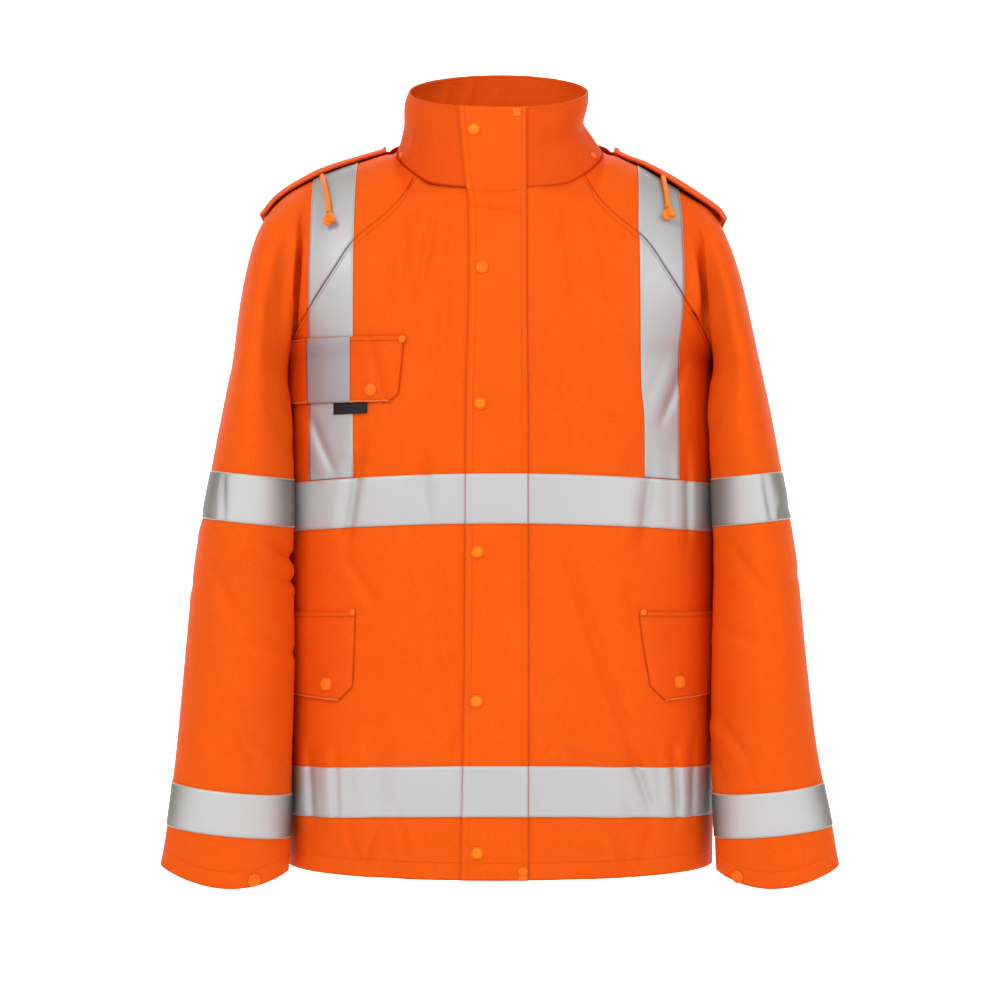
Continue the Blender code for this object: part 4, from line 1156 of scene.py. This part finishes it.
for side, hand in ((-1, "right"), (1, "left")):
    for band, (lowZ, highZ) in bands.items():
        middle = (lowZ + highZ) / 2
        inner = abs(lookUp(flapSettings["edges"], middle, 2 if side > 0 else 1))
        inner -= tapeSettings["flapTuck"]

        def bandBase(a, b, side=side, lowZ=lowZ, highZ=highZ, inner=inner):
            share = a if side > 0 else 1 - a
            mark = inner + share * (torso["sideMark"] - tapeSettings["sideGap"] - inner)
            return torsoPoint(side, mark, lowZ + b * (highZ - lowZ))

        addTape(f"tape_{band}_front_{hand}", raised(bandBase, tapeSettings["lift"]), "front")

    def braceBase(a, b, side=side):
        low, high, topZ, topDrop = braceEdges[side]
        topZ -= b * topDrop
        z = topZ + a * (braceFoot - topZ)
        mark = (1 - b) * lookUp(low, z, 1) + b * lookUp(high, z, 1)
        onSeam = lookUp(torso["raglan"][False], topZ, 1) - tapeSettings["seamGap"]
        ruled = (1 - b) * lookUp(low, topZ, 1) + b * lookUp(high, topZ, 1)
        return torsoPoint(side, mark + (onSeam - ruled) * (1 - a) ** 4, z)

    facing = braceBase if side > 0 else mirrored(braceBase)
    addTape(
        f"tape_brace_front_{hand}", raised(facing, tapeSettings["lift"]), "brace front",
        braceSilver["near" if side > 0 else "far"],
    )

    def behindBase(a, b, side=side):
        topZ = backBrace["topZ"] - b * backBrace["topDrop"]
        z = topZ + a * (braceFoot - topZ)
        return torsoPoint(side, backBrace["mark"] + b * backBrace["width"], z, True)

    facing = behindBase if side < 0 else mirrored(behindBase)
    addTape(
        f"tape_brace_back_{hand}", raised(facing, tapeSettings["lift"]), "brace back",
        braceSilver["near" if side < 0 else "far"],
    )

    def shoulderBase(a, b, side=side):
        gap = tapeSettings["shoulderGap"]
        share = gap + (1 - 2 * gap) * a
        first, span = sleeveBraceRings[side]
        return sleeves[side](share if side < 0 else 1 - share, (first + span * b) / rowCount)

    addTape(
        f"tape_brace_sleeve_{hand}", raised(shoulderBase, tapeSettings["lift"]), "brace sleeve",
        braceSilver["near far"],
    )
    for band, first in sleeveBands.items():

        def ringBase(a, b, side=side, first=first):
            return sleeves[side](1 - a if side < 0 else a, (first + 1 - b) / rowCount)

        addTape(
            f"tape_{band}_sleeve_{hand}", raised(ringBase, tapeSettings["lift"]), band,
            sleeveSilver, weld=True,
        )
for band, (lowZ, highZ) in bands.items():

    def backBand(a, b, lowZ=lowZ, highZ=highZ):
        side = 1 if a < 0.5 else -1
        mark = abs(a - 0.5) * 2 * (torso["sideMark"] - tapeSettings["sideGap"])
        return torsoPoint(side, mark, lowZ + b * (highZ - lowZ), True)

    addTape(f"tape_{band}_back", raised(backBand, tapeSettings["lift"]), "back")

    def flapBand(a, b, lowZ=lowZ, highZ=highZ):
        z = lowZ + b * (highZ - lowZ)
        low = lookUp(flapSettings["edges"], z, 1)
        high = lookUp(flapSettings["edges"], z, 2)
        gap = tapeSettings["flapGap"]
        x = low + (gap + (1 - 2 * gap) * a) * (high - low)
        return torsoPoint(1 if x > 0 else -1, abs(x), z)

    onFlap = raised(flapBand, flapSettings["lift"] + tapeSettings["lift"])
    addTape(f"tape_{band}_flap", onFlap, "flap")
print("tapes made")

pocketAcross, pocketUp = 54, 40
pocketGap = 0.0012  # to the seam beside each flap
# inner is the mark of the inner edge at the top and at the bottom, cut its corner, rise how far
# the lower edge climbs towards the side seam, tape the marks of both edges of the flap's tape
pocketSettings = {
    "chest": {
        "node": "chest_pocket_flap", "side": -1, "flat": (0.165, 0.078),
        "top": -0.1835, "bottom": -0.2480, "inner": (0.0950, 0.1000), "cut": 0.0080,
        "lift": 0.0028, "puff": 0.0016, "rise": 0.0, "tape": (0.1896, 0.1465),
    },
    "hip_right": {
        "node": "hip_pocket_flap_right", "side": -1, "flat": (0.160, 0.085),
        "top": -0.4513, "bottom": -0.5390, "inner": (0.1425, 0.1452), "cut": 0.0140,
        "lift": 0.0020, "puff": 0.0022, "rise": 0.011,
    },
    "hip_left": {
        "node": "hip_pocket_flap_left", "side": 1, "flat": (0.158, 0.085),
        "top": -0.4513, "bottom": -0.5390, "inner": (0.1378, 0.1490), "cut": 0.0140,
        "lift": 0.0020, "puff": 0.0022, "rise": 0.011,
    },
}


# marks of a flap's inner edge and of its end at the seam, at share b of its height
def pocketEnds(values, b):
    z = values["bottom"] + b * (values["top"] - values["bottom"])
    limit = torso["sideMark"]
    if z > torso["armpit"]:
        limit = markOf(lookUp(torso["raglan"][False], z, 1), z)
    top, bottom = values["inner"]
    start = bottom + (top - bottom) * ease(0.0, 1.0, b) ** 0.8
    start += max(0.0, values["cut"] - b * (values["top"] - values["bottom"]))
    return z, start, limit - pocketGap


def pocketBase(values):
    def surface(a, b):
        z, start, limit = pocketEnds(values, b)
        share = a if values["side"] > 0 else 1 - a
        rise = values["rise"] * share * (1 - 0.7 * b)
        return torsoPoint(values["side"], start + share * (limit - start), z + rise)

    return surface


# how far the flap stands off: less at its edges, more where it sags
def pocketPuff(values):
    def puff(a, b):
        share = a if values["side"] > 0 else 1 - a
        edge = min(1.0, share / 0.06) * min(1.0, (1 - b) / 0.10)
        bottom = 1 - 0.55 * (1 - min(1.0, b / 0.10))
        sag = 0.6 + 0.4 * math.cos(6.0 * share + 2.0 * b)
        return values["puff"] * edge * bottom * sag

    return puff


def pocketTape(values, base, puff):
    def surface(a, b):
        _, start, limit = pocketEnds(values, b)
        outer, inner = values["tape"]
        share = 1 - (outer + a * (inner - outer) - start) / (limit - start)
        lift = values["lift"] + puff(share, b) + tapeSettings["lift"]
        return base(share, b) + normalAt(base, share, b) * lift

    return surface


pocketPanels = {}
for name, values in pocketSettings.items():
    base, puff = pocketBase(values), pocketPuff(values)
    face = raised(base, values["lift"], puff)
    pocket = drawPanel(
        f"jacket_pocket_flap_{name}", face, pocketAcross, pocketUp, torso["cloth"], pocketCloth,
    )
    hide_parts(values["node"])
    pocketPanels[name] = pocket
    if "tape" in values:
        addTape(f"tape_{name}_pocket", pocketTape(values, base, puff), "pocket", pocketSilver)
print("pocket flaps made")

# search trees of the panels that other pieces stand on
trees = {}


def treeOf(piece):
    if piece.name not in trees:
        mesh = piece.data
        trees[piece.name] = BVHTree.FromPolygons(
            [vert.co for vert in mesh.vertices], [list(face.vertices) for face in mesh.polygons]
        )
    return trees[piece.name]


# point and outward direction on whichever of the pieces is outermost at this x and z
def standOn(pieces, x, z, lift=0.0, behind=False):
    start = Vector((x, 1.0 if behind else -1.0, z))
    ray = Vector((0, -1.0 if behind else 1.0, 0))
    best = None
    for piece in pieces:
        spot, normal, _, far = treeOf(piece).ray_cast(start, ray)
        if spot is not None and (best is None or far < best[2]):
            best = (spot, normal, far)
    if best is None:  # beside the piece, so the nearest place on it
        best = treeOf(pieces[0]).find_nearest(Vector((x * 1.1, -0.05, z)))
    spot, normal = best[:2]
    if normal.dot(ray) > 0:
        normal = -normal
    return spot + normal * lift, normal


# a round solid on the cloth; the profile is its radius and height from its foot to its top
def turnedPiece(name, spot, normal, profile, material, around=28):
    shape = bmesh.new()
    bmesh.ops.create_uvsphere(shape, u_segments=around, v_segments=len(profile) + 1, radius=1.0)
    levels = sorted({round(vert.co.z, 5) for vert in shape.verts})
    table = [(0.0, profile[0][1])] + list(profile) + [(0.0, profile[-1][1])]
    turn = normal.to_track_quat("Z", "Y")
    for vert in shape.verts:
        radius, height = table[levels.index(round(vert.co.z, 5))]
        flat = Vector((vert.co.x, vert.co.y, 0))
        flat = flat.normalized() * radius if flat.length > 0.0001 else Vector((0, 0, 0))
        vert.co = spot + turn @ Vector((flat.x, flat.y, height))
    bmesh.ops.recalc_face_normals(shape, faces=shape.faces[:])
    piece = pieceFrom(shape, name, material)
    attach(piece, "root")
    return piece


# radius and height
snapProfile = (
    (0.0056, -0.0006), (0.0062, -0.0001), (0.0064, 0.0006), (0.0062, 0.0011), (0.0059, 0.0010),
    (0.0057, 0.0003), (0.0054, 0.0003), (0.0051, 0.0014), (0.0043, 0.0023), (0.0029, 0.0029),
    (0.0012, 0.0032),
)
flatSnapProfile = (
    (0.0056, -0.0006), (0.0062, -0.0001), (0.0063, 0.0006), (0.0061, 0.0011), (0.0057, 0.0011),
    (0.0055, 0.0004), (0.0051, 0.0005), (0.0041, 0.0011), (0.0024, 0.0014), (0.0010, 0.0014),
)
socketProfile = (
    (0.0056, -0.0006), (0.0062, -0.0001), (0.0063, 0.0008), (0.0060, 0.0014), (0.0054, 0.0016),
    (0.0047, 0.0014), (0.0043, 0.0006), (0.0036, 0.0004), (0.0026, 0.0005), (0.0022, 0.0012),
    (0.0014, 0.0014), (0.0006, 0.0012),
)
rivetProfile = (
    (0.0038, -0.0005), (0.0042, -0.0001), (0.0043, 0.0004), (0.0040, 0.0009), (0.0033, 0.0013),
    (0.0022, 0.0016), (0.0010, 0.0017),
)
chestPocket = pocketPanels["chest"]
snapSettings = {"lift": 0.0003, "hipTurn": 0.5, "hipLift": 0.0006}
# carrier, x, z, profile
snaps = {
    "snap_collar": (flap, -0.0259, 0.0245, snapProfile),
    "snap_flap_1": (flap, -0.0177, -0.1162, flatSnapProfile),
    "snap_flap_2": (flap, -0.0196, -0.2501, snapProfile),
    "snap_flap_3": (flap, -0.0222, -0.3959, snapProfile),
    "snap_flap_4": (flap, -0.0232, -0.5417, snapProfile),
    "snap_flap_5": (flap, -0.0225, -0.6899, snapProfile),
    "snap_chest_pocket": (chestPocket, -0.1271, -0.2366, flatSnapProfile),
    "snap_hip_right": (pocketPanels["hip_right"], -0.1714, -0.5270, flatSnapProfile),
    "snap_hip_left": (pocketPanels["hip_left"], 0.1773, -0.5253, flatSnapProfile),
    "snap_cuff_right": (sleevePanels[-1], -0.2428, -0.7205, socketProfile),
    "snap_cuff_left": (sleevePanels[1], 0.2352, -0.7180, socketProfile),
}
for node, (carrier, x, z, profile) in snaps.items():
    spot, normal = standOn([carrier], x, z, snapSettings["lift"])
    if "hip" in node:  # the cloth under these faces too far outwards
        normal = normal.lerp(Vector((0, -1, 0)), snapSettings["hipTurn"]).normalized()
        spot += normal * snapSettings["hipLift"]
    plastic = snapPlastic if profile is snapProfile else flatSnapPlastic
    piece = turnedPiece(f"jacket_{node}", spot, normal, profile, plastic)
    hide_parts(node)
print("snaps made")

studSettings = {"lift": 0.0002, "around": 20}
# small round weld studs: carrier, x, z, size
studs = {
    "stud_chest": (chestPocket, -0.0962, -0.1870, 0.85),
    "stud_hip_right": (pocketPanels["hip_right"], -0.1458, -0.4556, 0.75),
    "stud_hip_left": (pocketPanels["hip_left"], 0.1412, -0.4556, 0.75),
    "stud_hem": (flap, 0.0222, -0.7080, 1.1),
    "stud_neck_right": (collar, -0.1010, 0.0060, 0.9),
    "stud_neck_left": (collar, 0.0950, 0.0050, 0.9),
}
for name, (carrier, x, z, size) in studs.items():
    spot, normal = standOn([carrier], x, z, studSettings["lift"])
    profile = [(radius * size, height * size) for radius, height in rivetProfile]
    turnedPiece(f"jacket_{name}", spot, normal, profile, studPlastic, studSettings["around"])
# small square weld patches on the storm flap
patchSettings = {
    "grid": 10,
    "wall": 0.0006,
    "lift": 0.0002,
    "crown": 0.0009,
    # middle x and z, width, height
    "places": {
        "collar_patch": (0.0167, 0.0418, 0.0085, 0.0090),
        "hem_patch": (0.0222, -0.7140, 0.0085, 0.0042),
    },
}
for name, (x, z, wide, tall) in patchSettings["places"].items():

    def patchSurface(a, b, x=x, z=z, wide=wide, tall=tall):
        spot, normal = standOn([flap], x + (a - 0.5) * wide, z + (b - 0.5) * tall)
        crown = bump(2 * a - 1) ** 0.25 * bump(2 * b - 1) ** 0.25
        return spot + normal * (patchSettings["lift"] + patchSettings["crown"] * crown)

    patch = drawPanel(
        f"jacket_{name}", patchSurface, patchSettings["grid"], patchSettings["grid"],
        patchSettings["wall"], studPlastic,
    )
print("studs and patches made")

# the bare tab under the chest flap; slant, bulge and swing belong to its free lower edge
labelSettings = {
    "across": 24,
    "up": 10,
    "wall": 0.0007,
    "x": (-0.1650, -0.1310),
    "z": (-0.2600, -0.2490),
    "lift": 0.0016,
    "slant": 0.0012,
    "bulge": 0.0009,
    "swing": 0.0004,
    "flat": (0.034, 0.0110),
}


def labelSurface(a, b):
    left, right = labelSettings["x"]
    low, high = labelSettings["z"]
    free = 1 - b
    z = low + b * (high - low) + labelSettings["slant"] * (a - 0.5) * free
    spot, _ = standOn([fronts[-1]], left + a * (right - left), z)
    loose = labelSettings["bulge"] * math.sin(math.pi * a) + labelSettings["swing"]
    return spot - Vector((0, labelSettings["lift"] + loose * free, 0))


label = drawPanel(
    "jacket_label_tab", labelSurface, labelSettings["across"], labelSettings["up"],
    labelSettings["wall"], labelBlack,
)
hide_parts("label_tab")
print("label made")

# two free ends lie along the shoulders, and the rest hangs folded behind
hoodSettings = {
    "across": 210,
    "up": 70,
    "wall": 0.0012,
    "flat": (1.09, 0.65),
    "area": 0.220,
    "gap": 0.0105,
    "end": {-1: 0.70, 1: 0.40},  # how far past ring 6 of the sleeve each end reaches
    "shares": (0.0, 0.22, 0.48, 0.74, 0.93),  # from the rim down to the fold
    "rimOut": 0.007,
    "rimUp": (0.003, 113, 140),  # height and the angles between which it grows
    "rimStand": 0.8,  # share of its stand that the outer layer has at the rim
    "rimLift": 0.004,
    "foldStand": 0.30,
    "foldDrop": 0.012,
    "normalStep": 0.004,
    "innerCrease": 0.3,  # share of each crease that the inner layer shows
    # share round the sleeve cap, lift
    "strip": (
        (0.45, 0.0020), (0.50, 0.0020), (0.55, 0.0020), (0.60, 0.0020), (0.65, 0.0024), (0.67, 0.0056),
        (0.65, 0.0086), (0.60, 0.0092), (0.55, 0.0088), (0.497, 0.0078), (0.447, 0.0042),
    ),
    # how much further forward each end reaches from ring 2 to ring 4, as a share round the cap
    "reach": {-1: 0.010, 1: 0.034},
    "reachFrom": (0.67, 0.22),  # none at the back edge, all of it this share further forward
    "reachLift": 0.08,
    # angle round the neck, fold x, fold z, how far the outer layer stands off, rim drop
    "back": (
        (91.0, 0.1220, -0.0130, 0.008, -0.0025),
        (96.0, 0.1280, -0.0400, 0.009, 0.002),
        (103.0, 0.1370, -0.0780, 0.011, 0.0055),
        (113.0, 0.1340, -0.1230, 0.016, 0.010),
        (125.0, 0.1220, -0.1680, 0.022, 0.014),
        (140.0, 0.0960, -0.2080, 0.034, 0.013),
        (158.0, 0.0520, -0.2420, 0.042, 0.013),
        (180.0, 0.0000, -0.2600, 0.046, 0.016),
    ),
    # x and z of both ends, half width, depth of the creases in the hanging part
    "creases": (
        (-0.020, 0.020, -0.070, -0.200, 0.011, 0.0050),
        (0.030, 0.020, 0.060, -0.190, 0.011, 0.0046),
        (-0.080, 0.000, -0.104, -0.120, 0.009, 0.0026),
        (0.085, 0.000, 0.108, -0.130, 0.009, 0.0026),
        (0.004, -0.060, -0.006, -0.250, 0.013, 0.0034),
        (-0.090, -0.150, 0.000, -0.222, 0.009, 0.0024),
        (0.094, -0.145, 0.010, -0.214, 0.009, 0.0020),
    ),
}
behindPieces = [backPanel, sleevePanels[-1], sleevePanels[1]]


def stripRow(side, ring):
    row = []
    at = ring / rowCount
    backEdge, width = hoodSettings["reachFrom"]
    for share, lift in hoodSettings["strip"]:
        reach = hoodSettings["reach"][side] * min(1.0, max(0.0, (ring - 2.0) / 2.0))
        reach *= (backEdge - share) / width
        share -= reach
        along = sleeves[side](share + 0.01, at) - sleeves[side](share - 0.01, at)
        down = sleeves[side](share, at + 0.008) - sleeves[side](share, at - 0.008)
        out = along.cross(down).normalized() * -side
        row.append(sleeves[side](share, at) + out * (lift + hoodSettings["reachLift"] * reach))
    return row


def hangingRow(side, angle, foldX, foldZ, stand, drop):
    rim = neckPoint(angle)
    out = Vector((rim.x, rim.y, 0)).normalized()
    up, low, high = hoodSettings["rimUp"]
    rim = rim + out * hoodSettings["rimOut"] + Vector((0, 0, up * ease(low, high, angle)))
    top = rim + out * stand * hoodSettings["rimStand"] + Vector((0, 0, hoodSettings["rimLift"] - drop))
    inner = [Vector((side * rim.x, rim.y, rim.z))]
    outer = [Vector((side * top.x, top.y, top.z))]
    gap = hoodSettings["gap"]
    for share in hoodSettings["shares"][1:]:
        x = side * (rim.x + share * (foldX - rim.x))
        z = rim.z + share * (foldZ - rim.z)
        away = stand * (0.55 + 0.75 * share - 0.55 * share**3)  # fullest below its middle
        inner.append(standOn(behindPieces, x, z, gap, True)[0])
        outer.append(standOn(behindPieces, x, z, gap + away, True)[0])
    lift = gap + stand * hoodSettings["foldStand"]
    fold = standOn(behindPieces, side * foldX, foldZ, lift, True)[0]
    fold.z -= hoodSettings["foldDrop"]
    return inner + [fold] + list(reversed(outer))


hoodHalves = []
for side in (-1, 1):
    rings = (6.0 + hoodSettings["end"][side], 6.0, 5.0, 4.0, 3.0, 2.0, 1.0)
    half = [stripRow(side, ring) for ring in rings]
    half += [hangingRow(side, *values) for values in hoodSettings["back"]]
    hoodHalves.append(half)
hoodRows = hoodHalves[0] + list(reversed(hoodHalves[1][:-1]))
hoodBase = throughLattice(hoodRows)


def hoodSurface(a, b):
    point = hoodBase(1 - b, a)
    depth = creaseDepth(point.x, point.z, hoodSettings["creases"]) * ease(0.02, 0.10, min(a, 1 - a))
    depth *= 1.0 if b < 0.5 else hoodSettings["innerCrease"]
    step = hoodSettings["normalStep"]
    across = hoodBase(1 - b, min(1.0, a + step)) - hoodBase(1 - b, max(0.0, a - step))
    up = hoodBase(max(0.0, 1 - b - step), a) - hoodBase(min(1.0, 1 - b + step), a)
    return point - across.cross(up).normalized() * depth


hood = drawPanel(
    "jacket_hood", hoodSurface, hoodSettings["across"], hoodSettings["up"],
    hoodSettings["wall"], hoodCloth,
)
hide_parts("hood")
print("hood made")

# free ends of the hood's draw cord
cordSettings = {
    "half": 0.0025,
    "lift": 0.0043,
    "steps": 20,
    "softening": 4,
    "swing": (0.003, 0.7),  # how far it swings forward, and from which share on
    "knotHalf": 0.0024,
    "knotSteps": 56,
    "knot": (0.0048, 0.0060, 0.0022, 0.0096),  # half width, height and depth, place below the cord
    "knotTurn": (-0.35, 0.25),  # angle at which it starts, and how much is left open
    # side, then x and z of each bend
    "paths": {
        "right": (-1, ((-0.1790, -0.0190), (-0.1740, -0.0330), (-0.1700, -0.0480), (-0.1690, -0.0610))),
        "left": (1, ((0.1640, -0.0190), (0.1650, -0.0330), (0.1660, -0.0450), (0.1665, -0.0560))),
    },
}


def cordCurve(name, spots, half):
    curve = bpy.data.curves.new(name, "CURVE")
    curve.dimensions = "3D"
    line = curve.splines.new("POLY")
    line.points.add(len(spots) - 1)
    for point, spot in zip(line.points, spots):
        point.co = (*spot, 1.0)
    curve.bevel_depth = half
    curve.bevel_resolution = 4
    curve.use_fill_caps = True
    curve.materials.append(cordBraid)
    piece = bpy.data.objects.new(name, curve)
    bpy.context.collection.objects.link(piece)
    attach(piece, "root")
    return piece


for hand, (side, path) in cordSettings["paths"].items():
    spots = []
    swing, swingFrom = cordSettings["swing"]
    for step in range(cordSettings["steps"] + 1):
        done = step / cordSettings["steps"]
        low = min(int(done * (len(path) - 1)), len(path) - 2)
        part = done * (len(path) - 1) - low
        x, z = (path[low][axis] + part * (path[low + 1][axis] - path[low][axis]) for axis in (0, 1))
        spot, _ = standOn([sleevePanels[side]], x, z, cordSettings["lift"])
        spots.append(spot - Vector((0, swing * max(0.0, (done - swingFrom) / (1 - swingFrom)), 0)))
    for _ in range(cordSettings["softening"]):
        middle = [a.lerp(c, 0.5).lerp(b, 0.5) for a, b, c in zip(spots, spots[1:], spots[2:])]
        spots = [spots[0]] + middle + [spots[-1]]
    cord = cordCurve(f"jacket_drawcord_{hand}", spots, cordSettings["half"])
    length = runningLength(spots)[-1]
    down = (spots[-1] - spots[-2]).normalized()
    across = Vector((0, -1, 0)).cross(down).normalized()
    front = down.cross(across).normalized()
    wide, tall, deep, below = cordSettings["knot"]
    knotStart, knotOpen = cordSettings["knotTurn"]
    knotSpots = []
    for step in range(cordSettings["knotSteps"] + 1):  # a trefoil, open where the cord comes in
        turn = knotStart + step / cordSettings["knotSteps"] * (2 * math.pi - knotOpen)
        aside = wide * (math.sin(turn) + 2 * math.sin(2 * turn)) / 3
        lower = below + tall * (math.cos(turn) - 2 * math.cos(2 * turn)) / 3
        knotSpots.append(spots[-1] + across * aside + down * lower - front * deep * math.sin(3 * turn))
    knot = cordCurve(f"jacket_knot_{hand}", knotSpots, cordSettings["knotHalf"])
    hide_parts(f"knot_{hand}")
    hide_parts(f"drawcord_{hand}")
    tuple(spots[0])
    print(f"draw cord {hand}: {length:.4f} m")
print("cords made")

# a floor that bends up into the wall behind
stageSettings = {
    "floor": -0.98,
    "size": 14.0,
    "front": -6.0,
    "wall": 4.2,
    "bend": 1.2,
    "white": (0.95, 0.95, 0.95),
    "rough": 0.9,
    "sky": 0.66,
}
sweep = bmesh.new()
bmesh.ops.create_grid(sweep, x_segments=2, y_segments=60, size=0.5)
bend = stageSettings["bend"]
start = stageSettings["wall"] - bend
for vert in sweep.verts:
    along = (vert.co.y + 0.5) * stageSettings["size"] + stageSettings["front"]
    turn = (along - start) / bend
    if turn <= 0:
        away, up = along, 0.0
    elif turn < math.pi / 2:
        away, up = start + bend * math.sin(turn), bend * (1 - math.cos(turn))
    else:
        away, up = start + bend, bend + along - start - bend * math.pi / 2
    vert.co = Vector((vert.co.x * stageSettings["size"], away, stageSettings["floor"] + up))
floorPaint = bpy.data.materials.new("floor paint")
floorPaint.use_nodes = True
paint = floorPaint.node_tree.nodes["Principled BSDF"]
paint.inputs["Base Color"].default_value = (*stageSettings["white"], 1.0)
paint.inputs["Roughness"].default_value = stageSettings["rough"]
floor = pieceFrom(sweep, "floor", floorPaint)

world = bpy.data.worlds.new("soft white")
bpy.context.scene.world = world
world.use_nodes = True
sky = world.node_tree.nodes["Background"]
sky.inputs["Color"].default_value = (1.0, 1.0, 1.0, 1.0)
sky.inputs["Strength"].default_value = stageSettings["sky"]

lights = {
    "key": {"at": (-1.5, -2.5, 1.9), "aim": (0, 0, -0.35), "size": 1.2, "power": 49.0},
    "fill": {"at": (1.9, -2.3, 1.0), "aim": (0, 0, -0.30), "size": 1.6, "power": 27.0},
    "side left": {"at": (-2.5, -0.9, 0.3), "aim": (-0.25, 0, -0.35), "size": 1.4, "power": 3.2},
    "side right": {"at": (2.5, -0.9, 0.3), "aim": (0.25, 0, -0.35), "size": 1.4, "power": 2.6},
    "wall left": {"at": (-2.2, 2.2, 0.7), "aim": (-0.4, 4.2, -0.2), "size": 1.6, "power": 70.0},
    "wall right": {"at": (2.2, 2.2, 0.7), "aim": (0.4, 4.2, -0.2), "size": 1.6, "power": 70.0},
    "floor": {"at": (0.0, 2.2, 1.4), "aim": (0.0, 2.8, -0.98), "size": 2.0, "power": 32.0},
}
for name, values in lights.items():
    lamp = bpy.data.lights.new(name, "AREA")
    lamp.energy = values["power"]
    lamp.size = values["size"]
    holder = bpy.data.objects.new(name, lamp)
    holder.location = values["at"]
    aim = Vector(values["aim"]) - Vector(values["at"])
    holder.rotation_euler = aim.to_track_quat("-Z", "Y").to_euler()
    bpy.context.collection.objects.link(holder)
cameraSettings = {"at": (0.0, -3.0, -0.345), "lens": 104.85, "sensor": 36.0}
lens = bpy.data.cameras.new("front camera")
lens.lens = cameraSettings["lens"]
lens.sensor_width = cameraSettings["sensor"]
camera = bpy.data.objects.new("front camera", lens)
camera.location = cameraSettings["at"]
camera.rotation_euler = (math.pi / 2, 0, 0)
bpy.context.collection.objects.link(camera)
bpy.context.scene.camera = camera
bpy.context.scene.view_settings.view_transform = "Standard"
print("stage made")
